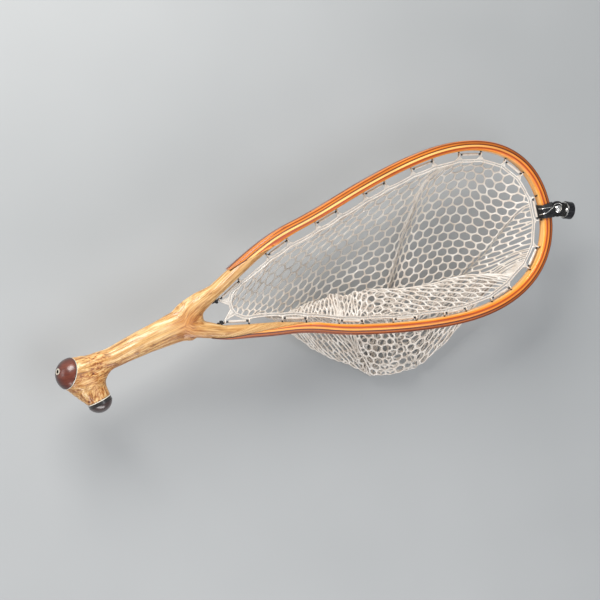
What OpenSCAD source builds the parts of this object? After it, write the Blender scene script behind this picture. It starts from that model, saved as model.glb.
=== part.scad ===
// Landing net: forked antler handle, laminated wooden bow, moulded rubber net
// laced inside the bow, and a swivelling magnet release clamped at the tip.
// Row frame: origin at the mouth of the lanyard socket in the butt cap,
// +X runs along the net towards the tip, +Z is the normal of the hoop's plane
// on the side the fish goes in, and the bag hangs on the -Z side.

/* [Hoop] */
// Half width of the opening at its widest place
open_half_w = 84.5; // [82:0.5:87]
// Distance from the throat line to the inner face at the tip
open_len = 383; // [380:0.5:386]
// Height of the bow, along the hoop's normal
bow_h = 13; // [12:0.5:14]
// Thickness of the outer, dark strip of the bow
outer_t = 4.6; // [4:0.1:5]
// Thickness of the light strip of the bow
middle_t = 2.2; // [1.6:0.1:2.6]
// Thickness of the inner, orange strip of the bow
inner_t = 4.0; // [3.6:0.1:4.4]
// Sideways set of the hand-bent throat
throat_set = -4.6; // [-5:0.2:-4]
// Sideways bow of the hoop just past the throat
neck_set = 3.8; // [3:0.2:4.4]

/* [Lacing] */
// Distance along the bow between the two holes of a pair
pair_pitch = 27; // [26:0.5:28]
// First gap between pairs, next to the tip
first_gap = 30.5; // [30:0.5:31]
// How much each gap grows towards the throat
gap_growth = 1.15; // [1:0.05:1.3]
// Radius of the lacing cord
cord_r = 0.9; // [0.8:0.05:0.95]
// Radius of the lacing holes in the bow
lace_hole_r = 1.15; // [1.1:0.05:1.2]

/* [Handle] */
// Radius of the handle's grip in the hoop's plane
grip_r = 11; // [10.5:0.25:11.5]
// Radius of the butt's end face
butt_r = 15.5; // [15:0.25:16]
// Height of the butt cap's dome
butt_dome = 10.6; // [10:0.2:11.4]
// Radius of the brow tine's end face
tine_r = 12.2; // [11.8:0.2:12.6]
// Height of the tine cap's dome
tine_dome = 8.4; // [7.4:0.2:9]
// Radius of the lanyard socket
socket_r = 1.8; // [1.6:0.1:2]
// Depth of the lanyard socket
socket_depth = 16; // [14:1:18]
// Lean of the butt's end face out of the hoop's plane, its axis turned towards +Z, in degrees
butt_lean = 16; // [12:1:18]

/* [Bag] */
// Depth of the bag below the hoop's plane
bag_depth = 66; // [60:2:72]
// Sideways sag of the bag's floor
bag_sag = 110; // [100:5:115]
// Thickness of the bag's sheet
bag_t = 1.2; // [1:0.1:1.4]

/* [Release] */
// Radius of the clamp screw's shank
screw_r = 2; // [2:0.1:2.2]
// Running clearance of the bracket on the screw
pivot_clear = 0.06; // [0.02:0.02:0.1]
// Distance from the middle of the bow to the clamp screw
screw_out = 15.8; // [15.4:0.2:16.2]
// Radius of the magnet's steel cup
cup_r = 9.6; // [9:0.2:10.4]
// Depth of the magnet's steel cup
cup_h = 7.6; // [7:0.2:8]
// Angle at which the release hangs round the screw, from straight out, in degrees
release_set = -18; // [-24:1:0]

/* [Hidden] */

bow_t = inner_t + middle_t + outer_t;
glue = 0.05;      // glue line between parts that touch
sides = [-1, 1];  // the hoop's -Y and +Y sides; tables by side follow this order

// ---- general helpers ----
function unit(v) = v / norm(v);
function left_of(v) = [-v[1], v[0]];
function smooth(value, start, end) =
    let (t = min(1, max(0, (value - start) / (end - start)))) t * t * (3 - 2 * t);
// places first to last of those that cut from..to into equal steps
function spaced(from, to, steps, first = 0, last = undef) =
    [for (i = [first:is_undef(last) ? steps : last]) from + (to - from) * i / steps];
// vector to the left of a path's point i, as long as a mitred offset of 1
function mitre(path, i) =
    let (start = max(i, 1), end = min(i + 1, len(path) - 1),
         before = unit(path[start] - path[start - 1]),
         after = unit(path[end] - path[end - 1]),
         normal = unit(left_of(before + after)))
    normal / (normal * left_of(before));
function quad(a, b, c, d) = [[a, b, c], [a, c, d]];
module ring(radius, hole_r, height) difference() {
    cylinder(r = radius, h = height, $fn = 96);
    translate([0, 0, -1]) cylinder(r = hole_r, h = height + 2, $fn = 48);
}

// ---- inner edge of the bow ----
// Drawn in the hoop's frame: origin on the throat line, +X towards the tip.
// Two Bezier curves give one half, and the whole is then bent sideways.
root_x = -20;          // where the side curve starts
root_half_w = 7.0;
root_angle = 21.2;
root_reach = 104.6;    // reaches are lengths of the curves' handles
widest_x = 277.9;
widest_reach = 71.6;
tip_reach = 47.7;
tail_len = 25;         // straight run behind the side curve, along X
curve_steps = 90;
side_curve = [[root_x, root_half_w],
              [root_x + root_reach * cos(root_angle), root_half_w + root_reach * sin(root_angle)],
              [widest_x - widest_reach, open_half_w], [widest_x, open_half_w]];
nose_curve = [[widest_x, open_half_w], [widest_x + widest_reach, open_half_w],
              [open_len, tip_reach], [open_len, 0]];
function bezier(p, t) = pow(1 - t, 3) * p[0] + 3 * pow(1 - t, 2) * t * p[1]
                      + 3 * (1 - t) * t * t * p[2] + pow(t, 3) * p[3];
// from the tip to the tail
half_edge = concat([for (i = [0:curve_steps]) bezier(nose_curve, 1 - i / curve_steps)],
                   [for (i = [1:curve_steps]) bezier(side_curve, 1 - i / curve_steps)],
                   [[root_x - tail_len, root_half_w - tail_len * tan(root_angle)]]);
edge_last = len(half_edge) - 1;
edge_runs = [for (i = 0, sum = 0; i <= edge_last;
                  sum = sum + norm(half_edge[min(i + 1, edge_last)] - half_edge[i]), i = i + 1) sum];
run_to_x = [for (i = [0:edge_last]) [edge_runs[i], half_edge[i][0]]];
run_to_y = [for (i = [0:edge_last]) [edge_runs[i], half_edge[i][1]]];
function bump(x, middle, spread) = exp(-pow((x - middle) / spread, 2));
function sway(x) = throat_set * bump(x, -5, 30) + neck_set * bump(x, 80, 35);

// A "run" is a distance along the inner edge from the tip, negative on the -Y side.
function edge_point(run) =
    let (x = lookup(abs(run), run_to_x)) [x, sign(run) * lookup(abs(run), run_to_y) + sway(x)];
function edge_normal(run) = -left_of(unit(edge_point(run + 2.5) - edge_point(run - 2.5)));
// point a distance out from the inner edge
function off_edge(run, out) = edge_point(run) + edge_normal(run) * out;
// area between two functions that give the distance out at each run
module ribbon(runs, inner, outer) polygon(concat(
    [for (run = runs) off_edge(run, inner(run))],
    [for (i = [len(runs) - 1:-1:0]) off_edge(runs[i], outer(runs[i]))]));

// ---- bow: its outer face, and the slanted joints where it lies along the antler ----
end_swell = 3.2;          // how much thicker the bow is at its ends
antler_tips = [337, 361]; // run, by side, where each antler point ends
bow_ends = [455, 416];    // run, by side, where each bow end starts
least_wood = 0.2;         // thinnest a strip gets at its end
end_step = 0.25;          // step of the search for a strip's end
function outer_face(run) = bow_t + end_swell * smooth(abs(run), 320, 400);
function scarf(run) =
    let (k = run < 0 ? 0 : 1)
    (abs(run) - antler_tips[k]) / (bow_ends[k] - antler_tips[k]) * outer_face(bow_ends[k]);
// last run on side k where a strip that ends this depth inside the outer face has wood
function strip_end(k, depth) =
    sides[k] * (min([for (run = [antler_tips[k]:end_step:bow_ends[k] + 4])
                     if (scarf(sides[k] * run) > outer_face(run) - depth - least_wood) run])
                - end_step);
// strip between two depths inside the outer face
module strip(from, to) difference() {
    start = strip_end(0, from);
    end = strip_end(1, from);
    linear_extrude(height = bow_h, center = true)
        ribbon(spaced(start, end, 2 * floor((end - start) / 8)),
               function(run) max(0, outer_face(run) - to, scarf(run) + glue),
               function(run) outer_face(run) - from);
    lacing_cut(0, pair_count - 1);
}
past_inner_face = 100; // a depth greater than the bow's thickness anywhere
module bow_inner_strip() color([0.80, 0.42, 0.14]) row()
    strip(outer_t + middle_t + glue, past_inner_face);
module bow_middle_strip() color([0.93, 0.74, 0.40]) row()
    strip(outer_t + glue, outer_t + middle_t);
module bow_outer_strip() color([0.42, 0.14, 0.07]) row() strip(0, outer_t);

// ---- lacing holes, in pairs, and the grooves for the cord between pairs ----
side_pairs = 7;    // pairs on each side of the one at the tip
groove_h = 2.42;
groove_depth = 2.3;
// runs of the two holes of pair j, counted from the tip
function near_hole(j) = pair_pitch / 2 + first_gap * j + gap_growth * j * (j - 1) / 2
                      + pair_pitch * (j - 1);
function far_hole(j) = near_hole(j) + pair_pitch;
pairs = concat([for (j = [side_pairs:-1:1]) [-far_hole(j), -near_hole(j)]],
               [[-pair_pitch / 2, pair_pitch / 2]],
               [for (j = [1:side_pairs]) [near_hole(j), far_hole(j)]]);
pair_count = len(pairs);
last_hole = far_hole(side_pairs);   // the cord passes here, but no hole is cut
cord_end = last_hole + 8;           // run of the holes that take the cord's ends
module lace_hole(run, from, to) {
    start = off_edge(run, from);
    normal = edge_normal(run);
    translate([start[0], start[1], 0]) rotate([0, 0, atan2(normal[1], normal[0])])
        rotate([0, 90, 0]) cylinder(r = lace_hole_r, h = to - from, $fn = 24);
}
module groove(from, to)
    ribbon(spaced(from, to, max(2, ceil(abs(to - from) / 4))),
           function(run) outer_face(run) - groove_depth,
           function(run) outer_face(run) + 3);
module lacing_cut(first, last) {
    for (i = [first:last]) for (run = pairs[i])
        if (abs(run) < last_hole) lace_hole(run, -2, 20);
    for (i = [first:last])
        if (i < pair_count - 1) linear_extrude(height = groove_h, center = true)
            groove(pairs[i][1], pairs[i + 1][0]);
}

// ---- the two end faces of the antler, and the row frame ----
butt_dir = 151.3;              // direction of the butt's axis in the plane
butt_light_t = 0.7;
butt_dark_t = 0.9;
butt_spacers = butt_light_t + butt_dark_t;
butt_axis = [cos(butt_dir), sin(butt_dir)];
butt_face = [-166.4, -17.3] - butt_spacers * butt_axis;
socket_lip = 0.3;              // how far the insert stands out of the dome
crown = butt_spacers + butt_dome + socket_lip; // socket's mouth above the antler's end face
mouth = [butt_face[0], butt_face[1], 0]
      + crown * [cos(butt_lean) * butt_axis[0], cos(butt_lean) * butt_axis[1], sin(butt_lean)];
tine_dir = -79;
tine_lean = 6.9;
tine_face = [-143.2, -51.6];
tine_light_t = 0.8;
tine_dark_t = 3.6;
tine_spacers = tine_light_t + tine_dark_t;
// moves from the hoop's frame to the row frame
module row() translate(-mouth) children();
// puts +Z along the axis of an end face
module at_face(face, direction, lean)
    translate([face[0], face[1], 0]) rotate([0, 0, direction]) rotate([0, 90 - lean, 0])
        children();
module at_butt() at_face(butt_face, butt_dir, butt_lean) children();
module at_tine() at_face(tine_face, tine_dir, tine_lean) children();

// ---- antler ----
// Stations are [x, y, radius in the plane, radius along z].
beam = [[-150, -17.6, 11.6, 13], [-136, -16.8, 10.6, 12], [-122, -16.3, 10.4, 11.3],
        [-105, -13.4, grip_r + 0.2, 11.2], [-80, -9.8, grip_r + 1.9, 11.6],
        [-60, -7.4, grip_r + 3.4, 11.8], [-44, -5.4, grip_r + 5.2, 11.4]];
fork = beam[len(beam) - 1];
crotch = [-27, -3.6, 7.2, 9.4];
// each arm of the fork: free stations, then the runs of its stations along the bow
arms = [[[[-36, 3.6, 12.6, 10.8], [-20, 11.0, 10.2, 9.8]], [440, 415, 390, antler_tips[1]]],
        [[[-36, -13, 10.8, 10.8], [-20, -18.6, 8.8, 9.8]], [-440, -415, -380, -antler_tips[0]]]];
butt_swell = [[-139.5, -23, 10.5, 12], [-143.5, -33, 10.4, 12], [-144.4, -40.4, 10.2, 11.4]];
tine_fillet = [[-127, -20, 8.2, 9.6], [-135.8, -27.5, 7.6, 9.8], [-141.6, -36, 8.2, 10]];
function arm_station(run) =
    let (radius = outer_face(run) / 2 - 0.05, middle = off_edge(run, radius))
    [middle[0], middle[1], radius, 6.6 + 2.2 * smooth(abs(run), 380, 445)];
module knot(station) translate([station[0], station[1], 0])
    scale([station[2], station[2], station[3]]) sphere(1, $fn = 26);
module chain(stations) for (i = [0:len(stations) - 2]) hull() {
    knot(stations[i]);
    knot(stations[i + 1]);
}
module end_disc(radius, height = 1)
    translate([0, 0, -1]) cylinder(r = radius, h = height, $fn = 48);
module antler_body() {
    chain(beam);
    for (arm = arms) chain(concat([fork], arm[0], [for (run = arm[1]) arm_station(run)]));
    chain([fork, crotch]);
    chain(butt_swell);
    chain(tine_fillet);
    hull() {
        at_butt() end_disc(butt_r);
        knot([-150, -17.6, 12.2, 13]);
    }
    hull() {
        at_butt() end_disc(butt_r - 0.4, 0.9);
        at_tine() end_disc(tine_r - 0.1, 0.9);
        knot([-148, -28, 13, 13.5]);
    }
    hull() {
        at_tine() end_disc(tine_r);
        knot([-146, -32, 12.2, 12.6]);
    }
}
insert_r = 3.1;        // lanyard insert
insert_depth = 17;     // below the antler's end face
dowel_r = 2.5;
dowel_depth = 10.5;    // below the tine's end face
dowel_in_cap = 3.8;
dowel_hole_r = 2.56;   // in the tine's spacers and cap
dowel_hole_in_cap = 4.2;
bore_fit = 0.1;        // radial clearance of both bores in the antler
bore_slack = 0.5;      // extra depth of both bores
module antler_handle() color([0.87, 0.72, 0.45]) row() difference() {
    antler_body();
    // seats of the bow ends
    for (k = [0, 1])
        linear_extrude(height = 60, center = true)
            ribbon(spaced(sides[k] * (antler_tips[k] - 12), sides[k] * (bow_ends[k] + 14), 24),
                   function(run) scarf(run),
                   function(run) 30);
    lacing_cut(0, 1);
    lacing_cut(pair_count - 3, pair_count - 1);
    for (side = sides) lace_hole(side * cord_end, -4, 8);
    at_butt() translate([0, 0, -insert_depth - bore_slack])
        cylinder(r = insert_r + bore_fit, h = 40, $fn = 48);
    at_tine() translate([0, 0, -dowel_depth - bore_slack])
        cylinder(r = dowel_r + bore_fit, h = 20, $fn = 40);
}

// ---- caps, spacers, insert and dowel ----
module dome(radius, height) {
    ball_r = (radius * radius + height * height) / (2 * height);
    intersection() {
        translate([0, 0, height - ball_r]) sphere(r = ball_r, $fn = 96);
        cylinder(r = radius + 5, h = height + 5);
    }
}
module insert_hole()
    at_butt() translate([0, 0, -20]) cylinder(r = insert_r + 0.05, h = 50, $fn = 48);
module butt_spacer(bottom, radius, height) difference() {
    at_butt() translate([0, 0, bottom]) cylinder(r = radius, h = height, $fn = 96);
    insert_hole();
}
module butt_spacer_light() color([0.9, 0.86, 0.76]) row()
    butt_spacer(glue, butt_r - 0.1, butt_light_t - glue);
module butt_spacer_dark() color([0.06, 0.05, 0.05]) row()
    butt_spacer(butt_light_t + glue, butt_r - 0.05, butt_dark_t - 2 * glue);
module butt_cap() color([0.22, 0.07, 0.04]) row() difference() {
    at_butt() translate([0, 0, butt_spacers]) dome(butt_r, butt_dome);
    insert_hole();
}
module lanyard_insert() color([0.85, 0.78, 0.66]) row() at_butt() difference() {
    translate([0, 0, -insert_depth]) cylinder(r = insert_r, h = insert_depth + crown, $fn = 64);
    translate([0, 0, crown - socket_depth]) cylinder(r = socket_r, h = socket_depth + 1, $fn = 48);
}
module tine_spacer_light() color([0.95, 0.92, 0.84]) row() at_tine()
    translate([0, 0, glue]) ring(tine_r - 0.1, dowel_hole_r, tine_light_t - glue);
module tine_spacer_dark() color([0.05, 0.04, 0.04]) row() at_tine()
    translate([0, 0, tine_light_t + glue]) ring(tine_r, dowel_hole_r, tine_dark_t - 2 * glue);
module tine_cap() color([0.20, 0.07, 0.05]) row() at_tine()
    translate([0, 0, tine_spacers]) difference() {
        dome(tine_r, tine_dome);
        translate([0, 0, -1]) cylinder(r = dowel_hole_r, h = dowel_hole_in_cap + 1, $fn = 40);
    }
module tine_dowel() color([0.7, 0.55, 0.35]) row() at_tine() translate([0, 0, -dowel_depth])
    cylinder(r = dowel_r, h = dowel_depth + tine_spacers + dowel_in_cap, $fn = 40);

// ---- net's rim: a band along the bow with lacing tabs, closed by an arc at the throat ----
rim_end = 420;          // run where the rim leaves the bow
rim_half_w = 1.9;
tab_foot = 3.2;         // half width of a tab at the rim
tab_foot_angle = 11;    // the same on the arc, in degrees
tab_tip = 0.9;          // half width of a tab at its tip
// distance out from the inner edge to the cord's run inside the bow
function cord_inside(run) = abs(run) < 20 ? -5.2 : -3.3;
function rim_point(run, out = 0) =
    off_edge(run, out - (10.5 - 3.4 * smooth(abs(run), 330, 415)));
arc_start = rim_point(rim_end);
arc_end = rim_point(-rim_end);
arc_reach = norm(arc_start - arc_end) / 2 / abs(edge_normal(rim_end)[1]);
arc_mid = (arc_start - arc_reach * edge_normal(rim_end)
         + arc_end - arc_reach * edge_normal(-rim_end)) / 2;
arc_r = (norm(arc_start - arc_mid) + norm(arc_end - arc_mid)) / 2;
function arc_angle(point) =
    let (angle = atan2(point[1] - arc_mid[1], point[0] - arc_mid[0]))
    angle < 0 ? angle + 360 : angle;
function arc_point(angle, out = 0) = arc_mid + (arc_r + out) * [cos(angle), sin(angle)];
// middle line's points on the arc, without its ends
function arc_points(steps, out = 0) =
    [for (angle = spaced(arc_angle(arc_start), arc_angle(arc_end), steps, 1, steps - 1))
        arc_point(angle, out)];
function rim_points(runs, out = 0) = [for (run = runs) rim_point(run, out)];
function tab(run) =
    let (tip = cord_inside(run) - 2.1)
    [rim_point(run - tab_foot, rim_half_w), off_edge(run - tab_tip, tip),
     off_edge(run + tab_tip, tip), rim_point(run + tab_foot, rim_half_w)];
function arc_tab(tip) =
    let (angle = arc_angle(tip), across = tab_tip * left_of(unit(tip - arc_mid)))
    [arc_point(angle - tab_foot_angle, rim_half_w), tip - across,
     tip + across, arc_point(angle + tab_foot_angle, rim_half_w)];
// the last hole on each side has its tab on the arc
arc_tips = [for (side = sides) off_edge(side * last_hole, cord_inside(last_hole) - 2.3)];
tab_runs = [for (pair = pairs) for (run = pair) if (abs(run) < last_hole) run];
last_tab = len(tab_runs) - 1;
rim_outer = concat(
    rim_points(spaced(-rim_end, tab_runs[0] - 4, 4, 0, 3), rim_half_w),
    [for (i = [0:last_tab]) each concat(
        tab(tab_runs[i]),
        i < last_tab
            ? rim_points(spaced(tab_runs[i] + tab_foot, tab_runs[i + 1] - tab_foot, 6, 1, 5),
                         rim_half_w)
            : [])],
    rim_points(spaced(tab_runs[last_tab] + tab_foot, rim_end, 4, 1), rim_half_w),
    arc_tab(arc_tips[1]),
    [for (angle = spaced(arc_angle(arc_tips[1]) + tab_foot_angle,
                         arc_angle(arc_tips[0]) - tab_foot_angle, 7, 1, 6))
        arc_point(angle, rim_half_w)],
    arc_tab(arc_tips[0]));
rim_inner = concat(rim_points(spaced(-rim_end, rim_end, 140), -rim_half_w),
                   arc_points(12, -rim_half_w));

// ---- net's bag: rows of points shaped like the rim's middle line, outside then inside ----
rim_line = concat(rim_points(spaced(-rim_end, rim_end, 61)), arc_points(11));
ring_count = len(rim_line);
bag_mid_x = 212;
bag_drop = 0.05;       // added depth of every row
// [fraction of depth, scale, x shift, fraction of sag]
bag_rows = [[0.02, 1.00, 0, 0], [0.10, 0.995, 0, 0.01], [0.20, 0.985, -1, 0.05],
            [0.33, 0.96, -4, 0.14], [0.47, 0.92, -8, 0.28], [0.62, 0.87, -12, 0.45],
            [0.76, 0.80, -16, 0.62], [0.87, 0.70, -19, 0.78], [0.95, 0.56, -21, 0.90],
            [1.00, 0.36, -22, 1.00]];
last_row = len(bag_rows) - 1;
sheet_size = len(bag_rows) * ring_count;
function next(i) = (i + 1) % ring_count;
function previous(i) = (i + ring_count - 1) % ring_count;
// the bag is shallower and sags less towards the throat
function bag_outside(i, level) =
    let (shape = bag_rows[level],
         x = bag_mid_x + shape[2] + shape[1] * (rim_line[i][0] - bag_mid_x),
         fullness = smooth(x, 20, 190))
    [x,
     shape[1] * rim_line[i][1] - bag_sag * shape[3] * (0.3 + 0.7 * fullness),
     -(bag_depth * shape[0] + bag_drop) * (level == 0 ? 1 : 0.55 + 0.45 * fullness)];
// unit vector into the bag; level in the hoop's plane at the top row
function bag_inward(i, level) =
    let (around = bag_outside(next(i), level) - bag_outside(previous(i), level),
         down = bag_outside(i, min(level + 1, last_row)) - bag_outside(i, max(level - 1, 0)),
         flat = unit(left_of(rim_line[next(i)] - rim_line[previous(i)])))
    level == 0 ? [flat[0], flat[1], 0] : unit(cross(around, down));
floor_mid = [bag_mid_x + bag_rows[last_row][2], -bag_sag, -bag_depth * 1.01 - bag_drop];
bag_points = concat(
    [for (level = [0:last_row]) for (i = [0:ring_count - 1]) bag_outside(i, level)],
    [for (level = [0:last_row]) for (i = [0:ring_count - 1])
        bag_outside(i, level) + bag_t * bag_inward(i, level)],
    [floor_mid, floor_mid + [0, 0, bag_t]]);
function outside_at(i, level) = level * ring_count + i;
function inside_at(i, level) = sheet_size + outside_at(i, level);
bag_faces = [for (i = [0:ring_count - 1]) let (j = next(i)) each concat(
    [for (level = [0:last_row - 1]) each concat(
        quad(outside_at(i, level), outside_at(j, level),
             outside_at(j, level + 1), outside_at(i, level + 1)),
        quad(inside_at(i, level), inside_at(i, level + 1),
             inside_at(j, level + 1), inside_at(j, level)))],
    quad(outside_at(i, 0), inside_at(i, 0), inside_at(j, 0), outside_at(j, 0)),
    [[outside_at(i, last_row), outside_at(j, last_row), 2 * sheet_size],
     [inside_at(j, last_row), inside_at(i, last_row), 2 * sheet_size + 1]])];
module rubber_net() color([0.90, 0.88, 0.84]) row() {
    translate([0, 0, -1.2]) linear_extrude(height = 2) difference() {
        polygon(rim_outer);
        polygon(rim_inner);
    }
    polyhedron(points = bag_points, faces = bag_faces, convexity = 6);
}

// ---- lacing: one black cord through every hole, a clear tube between each pair ----
cord_sink = 1.1;      // depth of the cord's middle line below the outer face
cord_sides = 8;
tube_r = 1.4;
tube_bore_r = 1.05;
tube_short = 7;       // how much shorter a tube is than the cord it covers
function inside_bow(run) = off_edge(run, cord_inside(run));
cord_path = concat(
    [off_edge(-cord_end, 6), off_edge(-cord_end, -1.6)],
    [for (i = [0:pair_count - 1]) each concat(
        [inside_bow(pairs[i][0]), inside_bow(pairs[i][1])],
        i < pair_count - 1
            ? [for (run = spaced(pairs[i][1], pairs[i + 1][0], 6))
                  off_edge(run, outer_face(run) - cord_sink)]
            : [])],
    [off_edge(cord_end, -1.6), off_edge(cord_end, 6)]);
cord_last = len(cord_path) - 1;
cord_points = [for (i = [0:cord_last])
    let (across = mitre(cord_path, i) * cord_r)
    for (k = [0:cord_sides - 1])
        let (angle = 360 * k / cord_sides, middle = cord_path[i] + across * cos(angle))
        [middle[0], middle[1], cord_r * sin(angle)]];
cord_faces = concat(
    [for (i = [0:cord_last - 1]) for (k = [0:cord_sides - 1])
        let (here = i * cord_sides, there = here + cord_sides, l = (k + 1) % cord_sides)
        each quad(here + k, here + l, there + l, there + k)],
    [[for (k = [cord_sides - 1:-1:0]) k]],
    [[for (k = [0:cord_sides - 1]) cord_last * cord_sides + k]]);
module lacing_cord() color([0.04, 0.04, 0.05]) row()
    polyhedron(points = cord_points, faces = cord_faces, convexity = 10);
module lacing_tubes() color([0.85, 0.87, 0.88, 0.7]) row() for (pair = pairs) {
    start = inside_bow(pair[0]);
    end = inside_bow(pair[1]);
    span = end - start;
    length = norm(span) - tube_short;
    translate([(start[0] + end[0]) / 2, (start[1] + end[1]) / 2, 0])
        rotate([0, 0, atan2(span[1], span[0])]) rotate([0, 90, 0]) difference() {
            cylinder(r = tube_r, h = length, center = true, $fn = 24);
            cylinder(r = tube_bore_r, h = length + 2, center = true, $fn = 24);
        }
}

// ---- clamp, in a frame at the bow's middle line with +X straight out ----
clamp_run = -6.0;
clamp_mid = off_edge(clamp_run, bow_t / 2);
clamp_normal = edge_normal(clamp_run);
cushion_t = 1.7;
cushion_fit = 0.1;    // clearance of the cushion round the bow
strap_t = 0.9;
strap_w = 10.5;
strap_end_r = 6.6;
tang_t = 1.5;         // bracket's plate between the strap's two tabs
tab_z = tang_t / 2 + 0.1;
tab_top = tab_z + strap_t;
// corner of the strap's inner face
corner_x = bow_t / 2 + cushion_fit + cushion_t + 0.45;
corner_z = bow_h / 2 + cushion_fit + cushion_t + 0.1;
module at_clamp() translate([clamp_mid[0], clamp_mid[1], 0])
    rotate([0, 0, atan2(clamp_normal[1], clamp_normal[0])]) children();
// block round the bow between two runs, with this much added on every side
module round_bow(from, to, added)
    linear_extrude(height = bow_h + 2 * added, center = true)
        ribbon(spaced(from, to, ceil((to - from) / 1.5)),
               function(run) -added,
               function(run) bow_t + added);
// [x, z] from the strap's corner, of what is trimmed off each cushion corner
corner_trim = [[-3.4, 0.15], [-3.1, -0.12], [-0.95, -1.0], [-0.1, -3.1], [0.3, -3.4], [3, 3]];
module clamp_cushion() color([0.05, 0.05, 0.05]) row() difference() {
    round_bow(-12.2, 2.6, cushion_fit + cushion_t);
    round_bow(-14, 4.4, cushion_fit);
    at_clamp() for (a = [0, 1]) for (b = [0, 1]) mirror([a, 0, 0]) mirror([0, 0, b])
        rotate([90, 0, 0]) linear_extrude(height = 30, center = true)
            polygon([for (point = corner_trim) [corner_x, corner_z] + point]);
}
// [x, z] of the strap's inner face, from the upper tab's end to the middle of the bend
upper_strap = [[30, tab_z], [corner_x + 3.6, tab_z], [corner_x + 2.2, tab_z + 1.2],
               [corner_x + 0.6, corner_z - 3], [corner_x - 0.8, corner_z - 0.9],
               [corner_x - 3, corner_z], [-corner_x + 3, corner_z],
               [-corner_x + 0.9, corner_z - 0.9], [-corner_x, corner_z - 3]];
strap_line = concat(upper_strap, [for (i = [len(upper_strap) - 1:-1:0])
    [upper_strap[i][0], -upper_strap[i][1]]]);
module clamp_strap() color([0.16, 0.16, 0.17]) row() at_clamp() difference() {
    intersection() {
        rotate([90, 0, 0]) linear_extrude(height = 20, center = true)
            polygon(concat(strap_line, [for (i = [len(strap_line) - 1:-1:0])
                strap_line[i] - mitre(strap_line, i) * strap_t]));
        linear_extrude(height = 40, center = true) {
            translate([-15, -strap_w / 2]) square([15 + screw_out - 4, strap_w]);
            translate([screw_out, 0]) circle(r = strap_end_r, $fn = 64);
        }
    }
    translate([screw_out, 0, -10]) cylinder(r = screw_r + 0.1, h = 20, $fn = 48);
}
washer_r = 4.15;
washer_t = 0.8;
washer_gap = 0.03;    // on each face of a washer
seat_z = tab_top + washer_t + 2 * washer_gap; // where the screw's head and the nut bear
shank_below = 4.6;    // shank beyond the lower washer
head_r = 4.1;
head_h = 2.7;
head_ball_r = 5.6;
slot_l = 4.2;
slot_w = 0.9;
nut_r = 4.04;
nut_h = 3.2;
module clamp_washers() color([0.72, 0.72, 0.74]) row() at_clamp() for (k = [0, 1])
    mirror([0, 0, k]) translate([screw_out, 0, tab_top + washer_gap])
        ring(washer_r, screw_r + 0.1, washer_t);
module clamp_screw() color([0.82, 0.82, 0.84]) row() at_clamp()
    translate([screw_out, 0, 0]) difference() {
        union() {
            translate([0, 0, -tab_top - washer_t - shank_below])
                cylinder(r = screw_r, h = 2 * tab_top + washer_t + shank_below + 1, $fn = 64);
            translate([0, 0, seat_z]) intersection() {
                cylinder(r = head_r, h = head_h, $fn = 64);
                translate([0, 0, head_h - head_ball_r]) sphere(r = head_ball_r, $fn = 96);
            }
        }
        for (angle = [0, 90]) rotate([0, 0, angle + 20])
            translate([-slot_l / 2, -slot_w / 2, tab_top + washer_t + 1.4])
                cube([slot_l, slot_w, 3]);
    }
module clamp_nut() color([0.65, 0.65, 0.67]) row() at_clamp()
    translate([screw_out, 0, -seat_z - nut_h]) difference() {
        linear_extrude(height = nut_h) circle(r = nut_r, $fn = 6);
        translate([0, 0, -1]) cylinder(r = screw_r + 0.03, h = 6, $fn = 64);
    }

// ---- magnet release, in the clamp's frame turned about the screw ----
flange_x = 24.2;
flange_t = 1.2;
flange_r = 8.8;
tang_r = 8.6;
tang_w = 15.2;
rivet_r = 1.2;
rivet_hole_r = 1.25;
rivets_z = [-5.2, 5.2];
cup_gap = 0.05;       // flange to cup, and cup to magnet
cup_x = flange_x + flange_t + cup_gap;
cup_floor = 1.5;
cup_bore_r = cup_r - 1.2;
module at_release() at_clamp() translate([screw_out, 0, 0]) rotate([0, 0, release_set])
    translate([-screw_out, 0, 0]) children();
module facing_out(x, z = 0) translate([x, 0, z]) rotate([0, 90, 0]) children();
module release_bracket() color([0.30, 0.30, 0.32]) row() at_release() difference() {
    union() {
        linear_extrude(height = tang_t, center = true) {
            translate([screw_out, 0]) circle(r = tang_r, $fn = 96);
            translate([screw_out, -tang_w / 2])
                square([flange_x + flange_t / 2 - screw_out, tang_w]);
        }
        facing_out(flange_x) cylinder(r = flange_r, h = flange_t, $fn = 96);
    }
    translate([screw_out, 0, -5]) cylinder(r = screw_r + pivot_clear, h = 10, $fn = 64);
    for (z = rivets_z) facing_out(flange_x - 2, z) cylinder(r = rivet_hole_r, h = 6, $fn = 32);
}
module bracket_rivets() color([0.75, 0.73, 0.70]) row() at_release()
    for (z = rivets_z) facing_out(flange_x, z) {
        translate([0, 0, -0.95]) cylinder(r1 = 1.6, r2 = 2.3, h = 0.9, $fn = 32);
        translate([0, 0, -0.1])
            cylinder(r = rivet_r, h = flange_t + cup_gap + cup_floor, $fn = 32);
    }
module magnet_cup() color([0.75, 0.76, 0.78]) row() at_release() facing_out(cup_x) difference() {
    cylinder(r = cup_r, h = cup_h, $fn = 96);
    translate([0, 0, cup_floor]) cylinder(r = cup_bore_r, h = cup_h, $fn = 96);
    for (z = rivets_z) translate([-z, 0, -1]) cylinder(r = rivet_hole_r, h = 5, $fn = 32);
}
module magnet_disc() color([0.07, 0.07, 0.09]) row() at_release()
    facing_out(cup_x + cup_floor + cup_gap)
        cylinder(r = cup_bore_r - 0.1, h = cup_h - cup_floor + 0.25, $fn = 96);

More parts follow.
